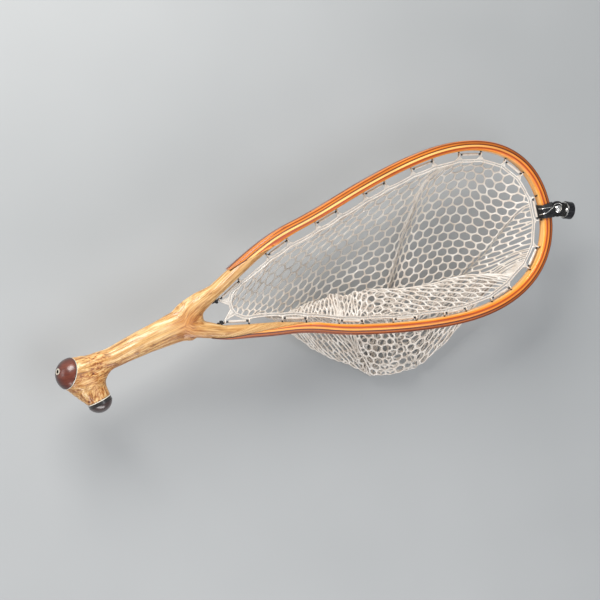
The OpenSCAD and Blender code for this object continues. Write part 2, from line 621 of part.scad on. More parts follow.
antler_handle();
bow_inner_strip();
bow_middle_strip();
bow_outer_strip();
butt_spacer_light();
butt_spacer_dark();
butt_cap();
lanyard_insert();
tine_spacer_light();
tine_spacer_dark();
tine_cap();
tine_dowel();
rubber_net();
lacing_cord();
lacing_tubes();
clamp_cushion();
clamp_strap();
clamp_screw();
clamp_washers();
clamp_nut();
release_bracket();
bracket_rivets();
magnet_cup();
magnet_disc();
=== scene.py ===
import math

import bpy
import numpy as np
from mathutils import Matrix, Vector, noise


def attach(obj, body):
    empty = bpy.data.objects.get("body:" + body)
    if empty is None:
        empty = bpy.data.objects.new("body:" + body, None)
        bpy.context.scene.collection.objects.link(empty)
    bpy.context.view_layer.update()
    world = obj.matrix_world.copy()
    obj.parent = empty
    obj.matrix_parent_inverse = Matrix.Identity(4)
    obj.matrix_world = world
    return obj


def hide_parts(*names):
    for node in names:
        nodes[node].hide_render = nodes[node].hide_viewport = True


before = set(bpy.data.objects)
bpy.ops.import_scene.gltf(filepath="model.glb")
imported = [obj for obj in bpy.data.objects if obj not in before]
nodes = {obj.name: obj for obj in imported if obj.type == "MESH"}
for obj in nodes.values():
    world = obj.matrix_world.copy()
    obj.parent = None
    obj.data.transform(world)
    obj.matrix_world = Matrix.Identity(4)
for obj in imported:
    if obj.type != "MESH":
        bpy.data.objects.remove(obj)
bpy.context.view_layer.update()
scene = bpy.context.scene

# ---------------------------------------------------------------- hoop geometry, in mm, as in the CAD
A212 = math.radians(21.2)
SIDE = [(-20, 7.0), (-20 + 104.6 * math.cos(A212), 7.0 + 104.6 * math.sin(A212)), (277.9 - 71.6, 84.5), (277.9, 84.5)]
NOSE = [(277.9, 84.5), (277.9 + 71.6, 84.5), (383.0, 47.7), (383.0, 0.0)]


def bezier(p, t):
    t = np.asarray(t)[:, None]
    p = np.array(p, float)
    return (1 - t) ** 3 * p[0] + 3 * (1 - t) ** 2 * t * p[1] + 3 * (1 - t) * t ** 2 * p[2] + t ** 3 * p[3]


_h = np.vstack([bezier(NOSE, np.linspace(1, 0, 401)), bezier(SIDE, np.linspace(1, 0, 401))[1:],
                [[-45, 7.0 - 25 * math.tan(A212)]]])
_cum = np.concatenate([[0], np.cumsum(np.linalg.norm(np.diff(_h, axis=0), axis=1))])


def smooth(a, a0, a1):
    t = np.clip((np.asarray(a, float) - a0) / (a1 - a0), 0, 1)
    return t * t * (3 - 2 * t)


def P(s):
    s = np.atleast_1d(np.asarray(s, float))
    a = np.abs(s)
    x = np.interp(a, _cum, _h[:, 0])
    y = np.sign(s) * np.interp(a, _cum, _h[:, 1])
    y = y - 4.6 * np.exp(-((x + 5) / 30) ** 2) + 3.8 * np.exp(-((x - 80) / 35) ** 2)
    return np.stack([x, y], 1)


def N(s):
    s = np.atleast_1d(np.asarray(s, float))
    d = P(s + 2.5) - P(s - 2.5)
    d /= np.linalg.norm(d, axis=1)[:, None]
    return np.stack([d[:, 1], -d[:, 0]], 1)


def offp(s, w):
    return P(s) + N(s) * np.atleast_1d(np.asarray(w, float))[:, None]


BOW_T, BOW_H, OUTER_T, MIDDLE_T = 10.8, 13.0, 4.6, 2.2
A_TIP, A_ROOT = (337, 361), (455, 416)


def out_w(a):
    return BOW_T + 3.2 * smooth(a, 320, 400)


def scarf(s):
    s = np.atleast_1d(np.asarray(s, float))
    k = (s >= 0).astype(int)
    tip, root = np.array(A_TIP)[k], np.array(A_ROOT)[k]
    return (np.abs(s) - tip) / (root - tip) * out_w(root)


def strip_end(k, w):
    sg = -1 if k == 0 else 1
    a = np.arange(A_TIP[k], A_ROOT[k] + 4.01, 0.25)
    ok = scarf(sg * a) > out_w(a) - w - 0.2
    return sg * (a[ok].min() - 0.25)


BUTT = math.radians(151.3)
BN = np.array([math.cos(BUTT), math.sin(BUTT)])
LEAN = math.radians(16)
BN3 = np.array([BN[0] * math.cos(LEAN), BN[1] * math.cos(LEAN), math.sin(LEAN)])
BUTT_FACE = np.array([*(np.array([-166.4, -17.3]) - 1.6 * BN), 0.0])
SHIFT = -(BUTT_FACE + (1.6 + 10.6 + 0.3) * BN3)


def to_row(p):
    p = np.asarray(p, float)
    if p.shape[-1] == 2:
        p = np.concatenate([p, np.zeros(p.shape[:-1] + (1,))], -1)
    return (p + SHIFT) * 0.001


def hole_a(j):
    return 13.5 + 30.5 * j + 1.15 * j * (j - 1) / 2 + 27 * (j - 1)


def hole_b(j):
    return hole_a(j) + 27


PAIRS = [(-hole_b(j), -hole_a(j)) for j in range(7, 0, -1)] + [(-13.5, 13.5)] + [(hole_a(j), hole_b(j)) for j in range(1, 8)]
CORD_END = hole_b(7) + 8


def lace_in(s):
    return -5.2 if abs(s) < 20 else -3.3


# ---------------------------------------------------------------- mesh helpers
def add_mesh(name, verts_mm, faces, mat=None, uv=None, row_frame=False, smooth_angle=40.0):
    me = bpy.data.meshes.new(name)
    v = np.asarray(verts_mm, float) if row_frame else to_row(verts_mm)
    me.from_pydata([tuple(p) for p in v], [], [tuple(int(i) for i in f) for f in faces])
    me.validate()
    ob = bpy.data.objects.new(name, me)
    scene.collection.objects.link(ob)
    if uv is not None:
        layer = me.uv_layers.new(name="UVMap")
        idx = np.empty(len(me.loops), int)
        me.loops.foreach_get("vertex_index", idx)
        layer.data.foreach_set("uv", np.asarray(uv, np.float32)[idx].ravel())
    me.shade_smooth()
    if smooth_angle is not None:
        me.set_sharp_from_angle(angle=math.radians(smooth_angle))
    if mat is not None:
        me.materials.append(mat)
    return ob


def apply_modifiers(ob):
    dg = bpy.context.evaluated_depsgraph_get()
    dg.update()
    me = bpy.data.meshes.new_from_object(ob.evaluated_get(dg), preserve_all_data_layers=True, depsgraph=dg)
    old = ob.data
    ob.modifiers.clear()
    ob.data = me
    me.name = ob.name
    bpy.data.meshes.remove(old)
    return ob


def grid_tube(rings, closed_path=False, cap=True):
    """rings: (n, m, 3) closed cross-sections. Returns verts, faces with outward normals for a ring turning from
    the normal to the binormal of a right-handed frame (tangent, normal, binormal)."""
    n, m = rings.shape[:2]
    v = rings.reshape(-1, 3)
    f = []
    last = n if closed_path else n - 1
    for i in range(last):
        a, b = i * m, ((i + 1) % n) * m
        for k in range(m):
            l = (k + 1) % m
            f.append((a + k, a + l, b + l, b + k))
    if cap and not closed_path:
        f.append(tuple(range(m - 1, -1, -1)))
        f.append(tuple((n - 1) * m + k for k in range(m)))
    return v, f


def frames_along(path, closed=False, up=(0, 0, 1)):
    """Tangent, normal, binormal per point; normal kept near 'up'."""
    p = np.asarray(path, float)
    if closed:
        t = np.roll(p, -1, 0) - np.roll(p, 1, 0)
    else:
        t = np.gradient(p, axis=0)
    t /= np.maximum(np.linalg.norm(t, axis=1), 1e-9)[:, None]
    up = np.broadcast_to(np.asarray(up, float), p.shape)
    nrm = up - t * np.sum(up * t, 1)[:, None]
    bad = np.linalg.norm(nrm, axis=1) < 1e-3
    nrm[bad] = np.cross(t[bad], (0.0, 1.0, 0.0))
    nrm /= np.linalg.norm(nrm, axis=1)[:, None]
    return t, nrm, np.cross(t, nrm)


def tube(path, r, sides=8, closed=False, up=(0, 0, 1), squash=1.0):
    t, nr, bn = frames_along(path, closed, up)
    r = np.broadcast_to(np.asarray(r, float), (len(path),))
    ang = 2 * np.pi * np.arange(sides) / sides
    c, s = np.cos(ang), np.sin(ang)
    rings = (np.asarray(path, float)[:, None] + r[:, None, None] * (c[None, :, None] * nr[:, None] * squash + s[None, :, None] * bn[:, None]))
    return grid_tube(rings, closed)


def join(parts):
    vs, fs, o = [], [], 0
    for v, f in parts:
        vs.append(np.asarray(v, float))
        fs += [tuple(i + o for i in q) for q in f]
        o += len(v)
    return np.vstack(vs), fs


def resample(path, step):
    path = np.asarray(path, float)
    d = np.concatenate([[0], np.cumsum(np.linalg.norm(np.diff(path, axis=0), axis=1))])
    n = max(2, int(round(d[-1] / step)) + 1)
    q = np.linspace(0, d[-1], n)
    return np.stack([np.interp(q, d, path[:, k]) for k in range(path.shape[1])], 1)


def chaikin(path, times=2):
    p = np.asarray(path, float)
    for _ in range(times):
        a, b = p[:-1], p[1:]
        q = np.empty((2 * len(a), p.shape[1]))
        q[0::2], q[1::2] = a * 0.75 + b * 0.25, a * 0.25 + b * 0.75
        p = np.vstack([p[:1], q, p[-1:]])
    return p


# ---------------------------------------------------------------- node materials
class Mat:
    def __init__(self, name):
        self.m = bpy.data.materials.new(name)
        self.m.use_nodes = True
        self.t = self.m.node_tree
        self.t.nodes.clear()
        self.out = self.n("ShaderNodeOutputMaterial")
        self.b = self.n("ShaderNodeBsdfPrincipled")
        self.link(self.b.outputs[0], self.out.inputs["Surface"])

    def n(self, kind, **props):
        node = self.t.nodes.new(kind)
        for k, v in props.items():
            setattr(node, k, v)
        return node

    def link(self, a, b):
        self.t.links.new(a, b)

    def set(self, **kw):
        names = {"rough": "Roughness", "metal": "Metallic", "coat": "Coat Weight", "coat_rough": "Coat Roughness",
                 "spec": "Specular IOR Level", "ior": "IOR", "sss": "Subsurface Weight", "trans": "Transmission Weight"}
        for k, v in kw.items():
            if k == "color":
                self.b.inputs["Base Color"].default_value = (*v, 1)
            else:
                self.b.inputs[names[k]].default_value = v
        return self

    def coord(self, kind="Object", scale=(1, 1, 1), attr=None, rot=(0, 0, 0)):
        if attr:
            src = self.n("ShaderNodeAttribute", attribute_name=attr).outputs["Vector"]
        else:
            src = self.n("ShaderNodeTexCoord").outputs[kind]
        mp = self.n("ShaderNodeMapping")
        mp.inputs["Scale"].default_value = scale
        mp.inputs["Rotation"].default_value = rot
        self.link(src, mp.inputs["Vector"])
        return mp.outputs[0]

    def noise(self, vec, scale=1.0, detail=3.0, rough=0.5, dist=0.0):
        nz = self.n("ShaderNodeTexNoise")
        nz.inputs["Scale"].default_value = scale
        nz.inputs["Detail"].default_value = detail
        nz.inputs["Roughness"].default_value = rough
        nz.inputs["Distortion"].default_value = dist
        self.link(vec, nz.inputs["Vector"])
        return nz.outputs[0]

    def ramp(self, fac, stops, interp="LINEAR"):
        r = self.n("ShaderNodeValToRGB")
        r.color_ramp.interpolation = interp
        el = r.color_ramp.elements
        while len(el) > 1:
            el.remove(el[-1])
        el[0].position, el[0].color = stops[0][0], (*stops[0][1], 1)
        for pos, col in stops[1:]:
            e = el.new(pos)
            e.color = (*col, 1)
        self.link(fac, r.inputs[0])
        return r.outputs[0]

    def mix(self, fac, a, b, blend="MIX"):
        mx = self.n("ShaderNodeMix", data_type="RGBA", blend_type=blend)
        for sock, val in ((mx.inputs[0], fac), (mx.inputs[6], a), (mx.inputs[7], b)):
            if hasattr(val, "is_output"):
                self.link(val, sock)
            elif isinstance(val, tuple):
                sock.default_value = (*val, 1)
            else:
                sock.default_value = val
        return mx.outputs[2]

    def math(self, op, a, b=0.0):
        mm = self.n("ShaderNodeMath", operation=op)
        for sock, val in ((mm.inputs[0], a), (mm.inputs[1], b)):
            if hasattr(val, "is_output"):
                self.link(val, sock)
            else:
                sock.default_value = val
        return mm.outputs[0]

    def color(self, sock):
        self.link(sock, self.b.inputs["Base Color"])
        return self

    def rough(self, sock):
        self.link(sock, self.b.inputs["Roughness"])
        return self

    def bump(self, sock, strength=0.3, distance=0.0002):
        bp = self.n("ShaderNodeBump")
        bp.inputs["Strength"].default_value = strength
        bp.inputs["Distance"].default_value = distance
        self.link(sock, bp.inputs["Height"])
        self.link(bp.outputs[0], self.b.inputs["Normal"])
        return self


def wood(name, bands, fine=1.0, coat=0.5, rough=0.3, streak=0.5, wobble=0.35, arm_light_shade_tint=None):
    """Varnished wood whose grain runs along U (mm along the bow). bands colours it across the strip, from 0 at the
    strip's inner side to 1 at its outer side. arm_light_shade_tint tints the -Y arm of the bow, the +Y arm and, if
    given, the tip: painted light and shade."""
    m = Mat(name)
    across = m.n("ShaderNodeAttribute", attribute_name="across").outputs["Fac"]
    wob = m.noise(m.coord("UV", (0.012, 0.25, 1)), 1.0, 3, 0.5)
    pos = m.math("ADD", across, m.math("MULTIPLY", m.math("SUBTRACT", wob, 0.5), wobble))
    base = m.ramp(pos, bands)
    # the per-arm tint is painted light and shade: one arm of the same strip is made lighter or darker than the other
    # for how the light falls on it
    if arm_light_shade_tint:
        sep = m.n("ShaderNodeSeparateXYZ")
        m.link(m.coord("UV", (1 / 900, 1, 1)), sep.inputs[0])
        tip = arm_light_shade_tint[2] if len(arm_light_shade_tint) > 2 else arm_light_shade_tint[0]
        along = m.ramp(m.math("ADD", sep.outputs[0], 0.5), [(0.0, arm_light_shade_tint[0]), (0.2, arm_light_shade_tint[0]), (0.34, tip), (0.55, tip), (0.68, arm_light_shade_tint[1]), (1.0, arm_light_shade_tint[1])])
        base = m.mix(1.0, base, along, "MULTIPLY")
    g = m.noise(m.coord("UV", (0.02, 0.9 * fine, 1)), 1.0, 6, 0.6, 0.6)
    fine_g = m.noise(m.coord("UV", (0.05, 5.5 * fine, 1)), 1.0, 3, 0.6)
    pores = m.noise(m.coord("UV", (0.25, 9.0, 1)), 1.0, 2, 0.5)
    patch = m.noise(m.coord("UV", (0.012, 0.12, 1)), 1.0, 2, 0.5)
    col = m.mix(streak, base, m.ramp(g, [(0.34, (0.34, 0.22, 0.16)), (0.5, (0.92, 0.90, 0.86)), (0.68, (1.25, 1.25, 1.1))]), "MULTIPLY")
    col = m.mix(0.5, col, m.ramp(fine_g, [(0.36, (0.5, 0.42, 0.36)), (0.55, (1.03, 1.03, 1.0))]), "MULTIPLY")
    col = m.mix(0.4, col, m.ramp(pores, [(0.28, (0.6, 0.5, 0.42)), (0.36, (1, 1, 1))]), "MULTIPLY")
    col = m.mix(0.3, col, m.ramp(patch, [(0.3, (0.72, 0.66, 0.6)), (0.7, (1.2, 1.2, 1.15))]), "MULTIPLY")
    m.color(col).set(coat=coat, coat_rough=0.09, rough=rough, spec=0.3)
    m.bump(fine_g, 0.15, 0.0001)
    return m.m


MATS = {}
# bow_orange: the pale stop at 0 is a painted highlight on the rounded inner edge; the per-arm tint lightens the -Y arm
# and tip (lit inner face) and darkens the +Y arm (shaded inner face): painted light and shade
MATS["bow_orange"] = wood("bow_orange", [(0.0, (1.0, 0.58, 0.20)), (0.08, (0.90, 0.36, 0.05)), (0.36, (0.84, 0.26, 0.022)), (0.58, (0.52, 0.09, 0.006)),
                                         (0.82, (0.36, 0.05, 0.004)), (1.0, (0.62, 0.15, 0.012))], arm_light_shade_tint=((1.05, 1.0, 1.0), (0.92, 0.90, 0.9)))
# bow_light: the per-arm tint keeps the light strip yellow on the +Y arm, where it catches the highlight, and turns it
# orange on the -Y arm and the tip: painted highlight
MATS["bow_light"] = wood("bow_light", [(0.0, (0.92, 0.46, 0.09)), (0.5, (1.0, 0.72, 0.29)), (1.0, (0.90, 0.44, 0.09))], 0.8, streak=0.3,
                         arm_light_shade_tint=((0.90, 0.60, 0.30), (1.0, 1.0, 1.0), (0.80, 0.40, 0.13)))
# bow_dark: the per-arm tint darkens the -Y arm and the tip as painted shade; the dark stops from 0.84 to 1.0 land on
# the lower outer face and underside, also painted shade
MATS["bow_dark"] = wood("bow_dark", [(0.0, (0.12, 0.018, 0.004)), (0.11, (0.15, 0.022, 0.004)), (0.19, (0.64, 0.19, 0.018)), (0.34, (0.76, 0.25, 0.028)),
                                     (0.43, (0.20, 0.03, 0.004)), (0.50, (0.26, 0.04, 0.005)), (0.58, (0.66, 0.20, 0.020)), (0.74, (0.70, 0.22, 0.022)),
                                     (0.84, (0.20, 0.03, 0.004)), (1.0, (0.07, 0.010, 0.003))], 1.2, rough=0.28, wobble=0.16,
                        arm_light_shade_tint=((0.55, 0.42, 0.38), (1.0, 1.0, 1.0)))

# antler: cream with brown lengthwise streaks, pitted and mottled at the butt
m = Mat("antler")
streak = m.noise(m.coord(attr="flow", scale=(15, 300, 300)), 1.0, 5, 0.6, 0.4)
streak2 = m.noise(m.coord(attr="flow", scale=(34, 900, 900)), 1.0, 4, 0.6, 0.3)
mott = m.noise(m.coord(attr="flow", scale=(170, 330, 330)), 1.0, 5, 0.62, 0.8)
broad = m.noise(m.coord(attr="flow", scale=(12, 40, 40)), 1.0, 2, 0.5)
base = m.ramp(streak, [(0.30, (0.30, 0.135, 0.040)), (0.41, (0.50, 0.27, 0.090)), (0.52, (0.66, 0.43, 0.18)), (0.68, (0.80, 0.62, 0.35))])
col = m.mix(0.65, base, m.ramp(streak2, [(0.38, (0.42, 0.26, 0.14)), (0.49, (1, 1, 1))]), "MULTIPLY")
col = m.mix(0.4, col, m.ramp(broad, [(0.35, (0.82, 0.66, 0.44)), (0.62, (1.06, 1.04, 1.0))]), "MULTIPLY")
# this mask darkens with pits and mottling: real at the butt, and along the beam's -Y side also painted shade on the
# side turned from the light
stain_and_shade = m.n("ShaderNodeAttribute", attribute_name="stain_and_shade").outputs["Fac"]
pits = m.ramp(mott, [(0.36, (0.20, 0.075, 0.025)), (0.45, (0.66, 0.38, 0.16)), (0.56, (1, 0.96, 0.9))])
col = m.mix(stain_and_shade, col, m.mix(1.0, col, pits, "MULTIPLY"))
warm = m.n("ShaderNodeAttribute", attribute_name="warm").outputs["Fac"]
col = m.mix(warm, col, m.mix(1.0, col, (0.80, 0.50, 0.24), "MULTIPLY"))
m.color(col).set(rough=0.40, coat=0.45, coat_rough=0.2, sss=0.0, spec=0.4)
m.bump(m.math("ADD", m.math("MULTIPLY", streak, 1.0), m.math("MULTIPLY", streak2, 0.4)), 0.5, 0.0005)
MATS["antler"] = m.m

m = Mat("cap_wood")
g = m.noise(m.coord("Object", (60, 210, 60), rot=(0, 0, 0.3)), 1.0, 5, 0.6, 0.6)
cap_col = m.ramp(g, [(0.32, (0.055, 0.010, 0.006)), (0.5, (0.105, 0.022, 0.012)), (0.68, (0.15, 0.036, 0.018))])
# the cap darkens towards its outline, where its surface turns away from the view: painted shade
lw = m.n("ShaderNodeLayerWeight")
lw.inputs["Blend"].default_value = 0.42
m.color(m.mix(m.ramp(lw.outputs["Facing"], [(0.28, (0, 0, 0)), (0.78, (1, 1, 1))]), cap_col, (0.008, 0.002, 0.0015)))
m.set(rough=0.36, coat=0.6, coat_rough=0.22, spec=0.3)
MATS["cap_wood"] = m.m
# the tine's cap is the butt cap's wood painted much darker: painted shade, for the dome faces down, away from the light
m = Mat("shaded_cap_wood")
g = m.noise(m.coord("Object", (60, 210, 60), rot=(0, 0, 0.3)), 1.0, 5, 0.6, 0.6)
m.color(m.ramp(g, [(0.32, (0.014, 0.005, 0.004)), (0.68, (0.045, 0.016, 0.012))])).set(rough=0.34, coat=0.9, coat_rough=0.16, spec=0.5)
MATS["shaded_cap_wood"] = m.m

m = Mat("spacer_light")
g = m.noise(m.coord("Object", (300, 300, 300)), 1.0, 3)
m.color(m.ramp(g, [(0.3, (0.70, 0.62, 0.48)), (0.7, (0.92, 0.88, 0.78))])).set(rough=0.3, coat=0.6, coat_rough=0.1)
MATS["spacer_light"] = m.m
m = Mat("spacer_dark")
g = m.noise(m.coord("Object", (250, 250, 250)), 1.0, 3)
m.color(m.ramp(g, [(0.3, (0.008, 0.007, 0.007)), (0.7, (0.03, 0.024, 0.022))])).set(rough=0.25, coat=0.7, coat_rough=0.08)
MATS["spacer_dark"] = m.m
m = Mat("dowel_wood")
g = m.noise(m.coord("Object", (60, 500, 500)), 1.0, 4)
m.color(m.ramp(g, [(0.3, (0.45, 0.28, 0.13)), (0.7, (0.72, 0.52, 0.3))])).set(rough=0.6)
MATS["dowel_wood"] = m.m
m = Mat("insert_metal")
g = m.noise(m.coord("Object", (400, 400, 400)), 1.0, 2)
m.color(m.ramp(g, [(0.3, (0.74, 0.64, 0.50)), (0.7, (0.86, 0.78, 0.66))])).set(metal=0.7, rough=0.28)
m.rough(m.ramp(g, [(0.3, (0.22, 0.22, 0.22)), (0.7, (0.36, 0.36, 0.36))]))
MATS["insert_metal"] = m.m

# clear cream rubber: glossy skin over a body that lets some light through
m = Mat("net_rubber")
g = m.noise(m.coord("Object", (90, 90, 90)), 1.0, 3)
g2 = m.noise(m.coord("Object", (900, 900, 900)), 1.0, 2)
rub = m.ramp(g, [(0.3, (0.72, 0.64, 0.56)), (0.5, (0.80, 0.74, 0.67)), (0.7, (0.86, 0.82, 0.77))])
m.color(rub).set(rough=0.26, coat=0.4, coat_rough=0.10, spec=0.6)
m.bump(g2, 0.12, 0.0002)
tr = m.n("ShaderNodeBsdfTranslucent")
m.link(rub, tr.inputs["Color"])
ms = m.n("ShaderNodeMixShader")
ms.inputs[0].default_value = 0.25
m.link(m.b.outputs[0], ms.inputs[1])
m.link(tr.outputs[0], ms.inputs[2])
m.link(ms.outputs[0], m.out.inputs["Surface"])
MATS["net_rubber"] = m.m

m = Mat("net_clear")
g = m.noise(m.coord("Object", (300, 300, 300)), 1.0, 3)
m.color(m.ramp(g, [(0.3, (0.62, 0.58, 0.54)), (0.7, (0.80, 0.78, 0.75))])).set(rough=0.2, coat=0.6, coat_rough=0.08)
tp = m.n("ShaderNodeBsdfTransparent")
tp.inputs["Color"].default_value = (0.93, 0.92, 0.90, 1)
ms = m.n("ShaderNodeMixShader")
ms.inputs[0].default_value = 0.34
m.link(tp.outputs[0], ms.inputs[1])
m.link(m.b.outputs[0], ms.inputs[2])
m.link(ms.outputs[0], m.out.inputs["Surface"])
MATS["net_clear"] = m.m

m = Mat("cord_black")
g = m.noise(m.coord("Object", (1800, 1800, 1800)), 1.0, 2)
m.color(m.ramp(g, [(0.35, (0.004, 0.004, 0.005)), (0.7, (0.03, 0.03, 0.034))])).set(rough=0.62)
m.bump(g, 0.6, 0.0003)
MATS["cord_black"] = m.m

m = Mat("tube_clear")
g = m.noise(m.coord("Object", (200, 200, 200)), 1.0, 2)
m.color(m.ramp(g, [(0.3, (0.60, 0.52, 0.44)), (0.7, (0.74, 0.68, 0.62))])).set(rough=0.2, coat=0.8, coat_rough=0.06)
tp = m.n("ShaderNodeBsdfTransparent")
tp.inputs["Color"].default_value = (0.95, 0.95, 0.94, 1)
lw = m.n("ShaderNodeLayerWeight")
lw.inputs["Blend"].default_value = 0.35
fac = m.ramp(lw.outputs["Facing"], [(0.0, (0.86, 0.86, 0.86)), (0.8, (0.97, 0.97, 0.97))])
ms = m.n("ShaderNodeMixShader")
m.link(fac, ms.inputs[0])
m.link(tp.outputs[0], ms.inputs[1])
m.link(m.b.outputs[0], ms.inputs[2])
m.link(ms.outputs[0], m.out.inputs["Surface"])
MATS["tube_clear"] = m.m

m = Mat("cushion_rubber")
g = m.noise(m.coord("Object", (700, 700, 700)), 1.0, 3)
m.color(m.ramp(g, [(0.3, (0.006, 0.006, 0.006)), (0.7, (0.022, 0.021, 0.02))])).set(rough=0.42, coat=0.3, coat_rough=0.25)
m.bump(g, 0.2, 0.0002)
MATS["cushion_rubber"] = m.m


def metal(name, c0, c1, rough0, rough1, scale=(300, 300, 300), metallic=1.0):
    m = Mat(name)
    g = m.noise(m.coord("Object", scale), 1.0, 4, 0.6)
    m.color(m.ramp(g, [(0.3, c0), (0.7, c1)])).set(metal=metallic)
    m.rough(m.ramp(g, [(0.3, (rough0,) * 3), (0.7, (rough1,) * 3)]))
    return m.m


MATS["clamp_metal"] = metal("clamp_metal", (0.008, 0.008, 0.009), (0.02, 0.02, 0.022), 0.22, 0.36, metallic=0.4)
# bright steel on the clip's edges and rims: painted highlights where the black parts catch the light
MATS["clamp_edge_highlight"] = metal("clamp_edge_highlight", (0.80, 0.77, 0.72), (0.95, 0.94, 0.90), 0.18, 0.30)
MATS["screw_steel"] = metal("screw_steel", (0.78, 0.76, 0.73), (0.92, 0.91, 0.88), 0.14, 0.26)
MATS["bracket_steel"] = metal("bracket_steel", (0.012, 0.012, 0.013), (0.035, 0.034, 0.034), 0.2, 0.34, (500, 80, 80), 0.6)
MATS["cup_steel"] = metal("cup_steel", (0.008, 0.008, 0.010), (0.022, 0.022, 0.026), 0.2, 0.32, (60, 600, 600), 0.4)
MATS["magnet_black"] = metal("magnet_black", (0.010, 0.010, 0.013), (0.03, 0.03, 0.036), 0.22, 0.34, metallic=0.3)
# the insert's bore is painted near-black: painted shade in the deep hole
m = Mat("bore_painted_shade")
g = m.noise(m.coord("Object", (600, 600, 600)), 1.0, 2)
m.color(m.ramp(g, [(0.3, (0.003, 0.003, 0.003)), (0.7, (0.010, 0.008, 0.007))])).set(rough=0.7, spec=0.1)
MATS["bore_painted_shade"] = m.m


# ---------------------------------------------------------------- the laminated bow
def bow_strip(name, w0, w1, mat, node, round_in=0.0, round_out=0.0, groove=False):
    """One strip of the bow: w0 is its outer side's distance inside the outer face, w1 its inner side's (None: the face)."""
    s0, s1 = strip_end(0, w0), strip_end(1, w0)
    stations = list(np.arange(s0, s1, 2.0)) + [s1]
    gaps = [(PAIRS[i][1], PAIRS[i + 1][0]) for i in range(len(PAIRS) - 1)]
    if groove:
        for a, b in gaps:
            stations += [a - 0.15, a + 0.15, b - 0.15, b + 0.15]
    stations = np.array(sorted(x for x in stations if s0 <= x <= s1))
    keep = np.concatenate([[True], np.diff(stations) > 0.05])
    st = stations[keep]
    fo = out_w(np.abs(st)) - w0
    base = np.zeros_like(st) if w1 is None else out_w(np.abs(st)) - w1
    fi = np.minimum(np.maximum(base, scarf(st) + 0.05), fo - 0.15)
    in_scarf = smooth(scarf(st), -1.5, 1.0)
    h = BOW_H / 2
    prof = []
    for i in range(len(st)):
        a, b = fi[i], fo[i]
        pts = []
        ro = min(round_out, (b - a) * 0.6)
        ri = min(round_in * (1 - in_scarf[i]), (b - a) * 0.6)
        # clockwise seen along +s: start at the inner side, bottom
        def corner(cx, cz, r, a0, a1, k=5):
            for j in range(k):
                t = a0 + (a1 - a0) * j / (k - 1)
                pts.append((cx + r * math.cos(t), cz + r * math.sin(t)))
        corner(a + ri, -h + ri, ri, math.pi, 1.5 * math.pi)
        corner(b - ro, -h + ro, ro, -0.5 * math.pi, 0)
        if groove:
            in_gap = any(g0 + 0.1 < st[i] < g1 - 0.1 for g0, g1 in gaps)
            d = 2.3 if in_gap else 0.0
            pts += [(b, -1.15), (b - d, -1.15 + (0.0 if d else 0.001)), (b - d, 1.15 - (0.0 if d else 0.001)), (b, 1.15)]
        corner(b - ro, h - ro, ro, 0, 0.5 * math.pi)
        corner(a + ri, h - ri, ri, 0.5 * math.pi, math.pi)
        prof.append(pts)
    prof = np.array(prof)
    p, n = P(st), N(st)
    rings = np.zeros((len(st), prof.shape[1], 3))
    rings[:, :, :2] = p[:, None] + n[:, None] * prof[:, :, :1]
    rings[:, :, 2] = prof[:, :, 1]
    v, f = grid_tube(rings)
    f = [tuple(reversed(q)) for q in f]
    # UV: along the bow and across the section, both in mm
    uv = np.zeros((len(v), 2))
    uv[:, 0] = np.repeat(st, prof.shape[1])
    uv[:, 1] = (prof[:, :, 0] + prof[:, :, 1] * 0.6).ravel()
    ob = add_mesh(name, v, f, MATS[mat], uv, smooth_angle=38)
    frac = (prof[:, :, 0] - fi[:, None]) / np.maximum(fo - fi, 0.3)[:, None]
    # on the outer strip the colour runs darker down the outer face and across the underside: painted shade
    if groove:
        frac = (frac + 0.6 * (h - prof[:, :, 1]) / (2 * h) * smooth(frac, 0.6, 0.95)) / 1.6
    att = ob.data.attributes.new("across", "FLOAT", "POINT")
    att.data.foreach_set("value", frac.ravel().astype(np.float32))
    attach(ob, "net")
    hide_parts(node)
    return ob


def fix_normals(ob):
    import bmesh
    bm = bmesh.new()
    bm.from_mesh(ob.data)
    bmesh.ops.recalc_face_normals(bm, faces=bm.faces)
    bm.to_mesh(ob.data)
    bm.free()


inner = bow_strip("bow_inner_laminate", OUTER_T + MIDDLE_T + 0.05, None, "bow_orange", "bow_inner_strip", round_in=2.6, round_out=0.15)
middle = bow_strip("bow_middle_laminate", OUTER_T + 0.05, OUTER_T + MIDDLE_T, "bow_light", "bow_middle_strip", 0.1, 0.1)
outer = bow_strip("bow_outer_laminate", 0.0, OUTER_T, "bow_dark", "bow_outer_strip", 0.15, 2.8, groove=True)
for ob in (inner, middle, outer):
    fix_normals(ob)

# lacing holes drilled through the inner and outer strips
cut = []
for i, pr in enumerate(PAIRS):
    for k in (0, 1):
        s = pr[k]
        if abs(s) > 345:
            continue
        path = np.array([[*offp(s, -2)[0], 0.0], [*offp(s, 16)[0], 0.0]])
        cut.append(tube(path, 1.15, 14))
v, f = join(cut)
cutter = add_mesh("cutter", v, f)
fix_normals(cutter)
for ob in (inner, outer):
    md = ob.modifiers.new("holes", "BOOLEAN")
    md.object = cutter
    md.operation = "DIFFERENCE"
    md.solver = "EXACT"
    apply_modifiers(ob)
bpy.data.objects.remove(cutter)


# ---------------------------------------------------------------- antler
def edge_array(me):
    e = np.empty(len(me.edges) * 2, int)
    me.edges.foreach_get("vertices", e)
    return e.reshape(-1, 2)


def coords(me):
    c = np.empty(len(me.vertices) * 3, np.float32)
    me.vertices.foreach_get("co", c)
    return c.reshape(-1, 3).astype(float)


BEAM = np.array([[-150, -17.6], [-136, -16.8], [-122, -16.3], [-105, -13.4], [-80, -9.8], [-60, -7.4], [-44, -5.9]])
TINE_FACE = np.array([-143.2, -51.6, 0.0])
td, tu = math.radians(-79), math.radians(6.9)
TINE_N = np.array([math.cos(td) * math.cos(tu), math.sin(td) * math.cos(tu), math.sin(tu)])
BUTT_N = BN3

